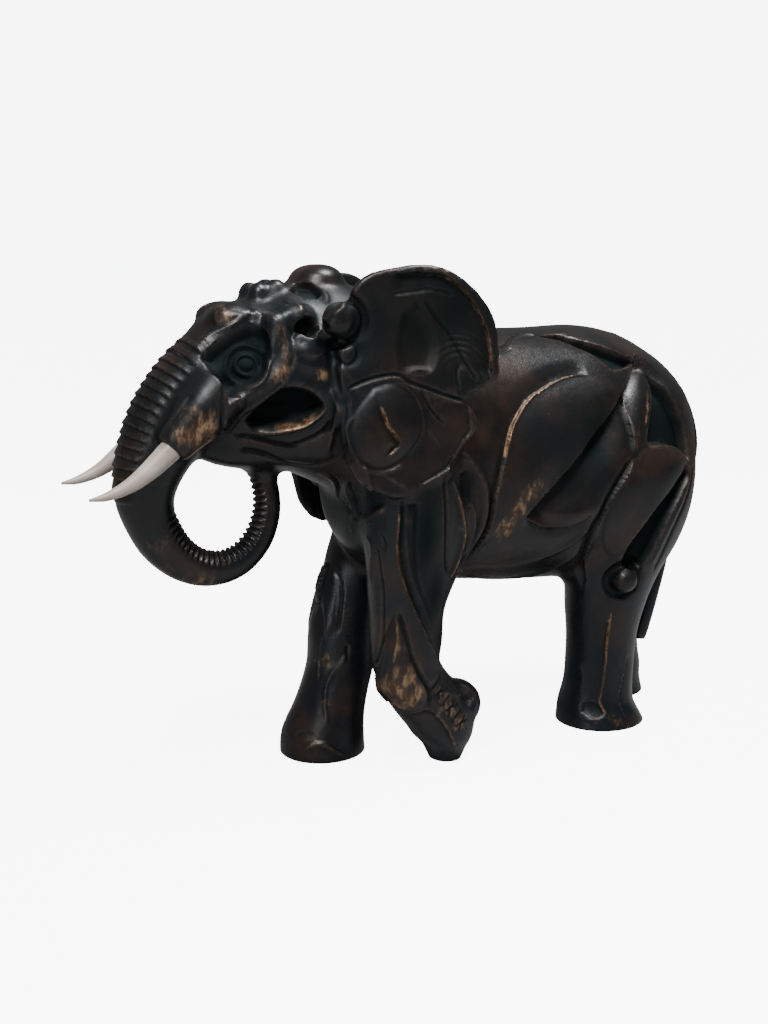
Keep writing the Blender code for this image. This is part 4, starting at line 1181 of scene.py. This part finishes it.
def node(tree, kind, inputs=(), **settings):
    made = tree.nodes.new("ShaderNode" + kind)
    for name, value in settings.items():
        setattr(made, name, value)
    for name, value in dict(inputs).items():
        if isinstance(value, bpy.types.NodeSocket):
            tree.links.new(value, made.inputs[name])
        else:
            made.inputs[name].default_value = value
    return made


def noise(tree, place, scale, detail=4.0, rough=0.5):
    return node(tree, "TexNoise", {"Vector": place, "Scale": scale, "Detail": detail,
                                   "Roughness": rough}).outputs["Fac"]


def math_node(tree, operation, *values, clamp=False):
    return node(tree, "Math", dict(enumerate(values)), operation=operation,
                use_clamp=clamp).outputs[0]


def span(tree, value, low, high):
    """A value spread from low..high to 0..1."""
    return node(tree, "MapRange", {"Value": value, "From Min": low, "From Max": high},
                interpolation_type="SMOOTHSTEP").outputs["Result"]


def mix(tree, amount, first, second):
    made = node(tree, "Mix", data_type="RGBA")
    for socket, value in ((0, amount), (6, first), (7, second)):
        if isinstance(value, bpy.types.NodeSocket):
            tree.links.new(value, made.inputs[socket])
        else:
            made.inputs[socket].default_value = value if socket == 0 else (*value, 1)
    return made.outputs[2]


def new_material(name):
    material = bpy.data.materials.new(name)
    material.use_nodes = True
    return material, material.node_tree, material.node_tree.nodes["Principled BSDF"]


def bronze():
    material, tree, shader = new_material("patinated_bronze_and_painted_shade")
    place = node(tree, "TexCoord").outputs["Object"]
    worn, hollow, gilt, patch = (
        node(tree, "Attribute", attribute_name=name).outputs["Fac"] for name in PATINA_AND_SHADE)
    cloud = noise(tree, place, 26, 5)
    drift = noise(tree, place, 11, 3)
    grain = noise(tree, place, 240, 6, 0.7)
    fleck = noise(tree, place, 900, 3, 0.6)
    streak = noise(tree, node(tree, "Mapping", {"Vector": place, "Scale": (1, 1, 0.4)})
                   .outputs["Vector"], 230, 5, 0.7)
    brown = mix(tree, span(tree, cloud, 0.4, 0.68), BLACK_BROWN, WARM_BROWN)
    dark = mix(tree, span(tree, drift, 0.42, 0.66), brown, BLUE_BLACK)
    height = node(tree, "SeparateXYZ", {"Vector": place}).outputs["Z"]
    low = math_node(tree, "MULTIPLY", span(tree, height, LEG_TINT_TOP, LEG_TINT_FULL), 0.75)
    low = math_node(tree, "MULTIPLY", low, span(tree, cloud, 0.66, 0.46))
    legs = mix(tree, low, dark, LEG_BLACK)
    # Hollows are painted dark green: the patina of the hollows, and painted shade where the hollow
    # layer holds it; worn rims and rubbed patches are kept out of them.
    cool = mix(tree, math_node(tree, "MULTIPLY", hollow, 0.9, clamp=True), legs, HOLLOW_GREEN)
    clear_of_hollows_and_shade = math_node(tree, "SUBTRACT", 1.0, hollow, clamp=True)
    rim = math_node(tree, "MULTIPLY", span(tree, worn, 0.35, 1.0), span(tree, grain, 0.35, 0.6))
    rim = math_node(tree, "MULTIPLY", rim, clear_of_hollows_and_shade)
    edged = mix(tree, math_node(tree, "MULTIPLY", rim, 0.34), cool, RIM_BROWN)
    line = span(tree, math_node(tree, "MULTIPLY_ADD", grain, 0.5, gilt), 0.5, 1.05)
    spot = span(tree, math_node(tree, "MULTIPLY_ADD", streak, 0.9, patch), 0.72, 1.45)
    spot = math_node(tree, "MULTIPLY", spot, clear_of_hollows_and_shade)
    rub = math_node(tree, "MAXIMUM", line, spot, clamp=True)
    gold = mix(tree, span(tree, streak, 0.42, 0.66), DARK_GOLD, LIGHT_GOLD)
    colour = mix(tree, math_node(tree, "MULTIPLY", rub, 0.85), edged, gold)
    tree.links.new(colour, shader.inputs["Base Color"])
    # In the hollows and under the painted shade the bronze turns more metallic and rougher over its
    # dark colour, which takes most of its reflection away so that they stay dark.
    metal = math_node(tree, "MULTIPLY_ADD", rub, 0.45, 0.08)
    metal = math_node(tree, "MULTIPLY_ADD", hollow, 0.7, metal, clamp=True)
    tree.links.new(metal, shader.inputs["Metallic"])
    rough = math_node(tree, "MULTIPLY_ADD", grain, 0.20, 0.22)
    rough = math_node(tree, "MULTIPLY_ADD", hollow, 0.38, rough)
    tree.links.new(rough, shader.inputs["Roughness"])
    pits = math_node(tree, "MULTIPLY_ADD", fleck, 0.35, grain)
    bump = node(tree, "Bump", {"Height": pits, "Strength": 0.34, "Distance": 0.0005})
    tree.links.new(bump.outputs["Normal"], shader.inputs["Normal"])
    shader.inputs["Specular IOR Level"].default_value = 0.38
    return material


def ivory():
    material, tree, shader = new_material("pale_tusk")
    place = node(tree, "TexCoord").outputs["Object"]
    cloud = noise(tree, place, 60, 4)
    fleck = noise(tree, node(tree, "Mapping", {"Vector": place, "Scale": (0.3, 1, 1)})
                  .outputs["Vector"], 500, 4)
    tone = mix(tree, span(tree, cloud, 0.35, 0.7), DARK_IVORY, IVORY)
    colour = mix(tree, span(tree, fleck, 0.58, 0.8), tone, IVORY_STREAK)
    tree.links.new(colour, shader.inputs["Base Color"])
    tree.links.new(math_node(tree, "MULTIPLY_ADD", fleck, 0.15, 0.33), shader.inputs["Roughness"])
    bump = node(tree, "Bump", {"Height": fleck, "Strength": 0.1, "Distance": 0.0004})
    tree.links.new(bump.outputs["Normal"], shader.inputs["Normal"])
    shader.inputs["Subsurface Weight"].default_value = 0.15
    shader.inputs["Subsurface Radius"].default_value = (0.004, 0.002, 0.001)
    return material


def aim(obj, way):
    """Turns a light or camera so that it looks along a way."""
    obj.rotation_mode = "QUATERNION"
    obj.rotation_quaternion = way.to_track_quat("-Z", "Y")


def area_light(name, place, size, energy):
    light = bpy.data.lights.new(name, "AREA")
    light.shape = "DISK"
    light.size = size
    light.energy = energy
    obj = link(name, light)
    obj.location = place
    aim(obj, Vector(LIGHT_AIM) - Vector(place))


def pale_floor():
    corners = [(x * FLOOR_HALF, y * FLOOR_HALF, 0) for x, y in ((-1, -1), (1, -1), (1, 1), (-1, 1))]
    floor = mesh_object("floor", corners, [(0, 1, 2, 3)])
    material, tree, shader = new_material("pale_floor")
    shader.inputs["Roughness"].default_value = 0.8
    shader.inputs["Specular IOR Level"].default_value = 0.1
    seen = node(tree, "LightPath").outputs["Is Camera Ray"]
    grey = mix(tree, seen, FLOOR_GREY_LIT, FLOOR_GREY_SEEN)
    tree.links.new(grey, shader.inputs["Base Color"])
    tree.links.new(math_node(tree, "MULTIPLY", seen, FLOOR_GLOW), shader.inputs["Emission Strength"])
    shader.inputs["Emission Color"].default_value = (1, 1, 1, 1)
    floor.data.materials.append(material)
    return floor


def room():
    """An even room light, with a brighter backdrop behind the object."""
    world = bpy.data.worlds.new("studio")
    world.use_nodes = True
    tree = world.node_tree
    seen = node(tree, "LightPath").outputs["Is Camera Ray"]
    glow = math_node(tree, "MULTIPLY_ADD", seen, BACKDROP_GLOW, ROOM_GLOW)
    tree.nodes["Background"].inputs["Color"].default_value = ROOM_COLOUR
    tree.links.new(glow, tree.nodes["Background"].inputs["Strength"])
    bpy.context.scene.world = world


def photo_camera(shift):
    """The camera of the photograph, moved with the statue."""
    camera = link("camera", bpy.data.cameras.new("camera"))
    turn, rise = math.radians(CAMERA_AZIMUTH), math.radians(CAMERA_ELEVATION)
    back = Vector((math.sin(turn) * math.cos(rise), -math.cos(turn) * math.cos(rise),
                   math.sin(rise)))
    camera.location = Vector(CAMERA_TARGET) + Vector(shift) + back * CAMERA_DISTANCE
    aim(camera, -back)
    camera.data.sensor_width = SENSOR
    camera.data.lens = CAMERA_FOCAL_PIXELS / PHOTO_HEIGHT * SENSOR
    camera.data.clip_start = 0.01
    bpy.context.scene.camera = camera


def move(obj, shift):
    points = read_points(obj.data) + np.array(shift)
    obj.data.vertices.foreach_set("co", points.ravel())
    obj.data.update()


def elephant(material):
    obj = body()
    subdivide(obj)
    skin = carve(obj)
    fine = relief(obj.data, FINE_ROUNDS) / FINE_RELIEF
    broad = relief(obj.data, BROAD_ROUNDS) / BROAD_RELIEF
    worn = np.clip(fine, 0, 1) * FINE_SHARE + np.clip(broad, 0, 1) * (1 - FINE_SHARE)
    # The hollow layer: dark patina in the hollows, with the painted shade of sunk fields and shaded
    # places.
    hollow = np.maximum(np.clip(-broad, 0, 1) * HOLLOW_SHARE, skin.sunk)
    source = read_points(obj.data)
    thin(obj, BODY_TRIANGLES)
    paint(obj, source, dict(zip(PATINA_AND_SHADE, (worn, hollow, skin.gold, skin.patch))))
    stand(obj)
    obj.data.materials.clear()
    obj.data.materials.append(material)
    obj.data.shade_smooth()
    return obj


def place_in_frame(obj, name, shift, cad_node):
    move(obj, shift)
    obj.name = name
    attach(obj, "root")
    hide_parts(cad_node)


def main():
    for obj in list(bpy.data.objects):
        bpy.data.objects.remove(obj)
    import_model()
    tusks = [tusk("left", NEAR), tusk("right", FAR)]
    drawn = read_points(tusks[0].data)
    low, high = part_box("left_tusk")
    shift = [low[0] - drawn[:, 0].min(), 0, high[2] - drawn[:, 2].max()]
    pale = ivory()
    for one, side in zip(tusks, ("left", "right")):
        one.data.materials.append(pale)
        one.data.shade_smooth()
        place_in_frame(one, side + "_tusk_ivory", shift, side + "_tusk")
    statue = elephant(bronze())
    place_in_frame(statue, "elephant_bronze", shift, "bronze_elephant")
    pale_floor()
    room()
    for light in LIGHTS:
        area_light(*light)
    photo_camera(shift)


main()
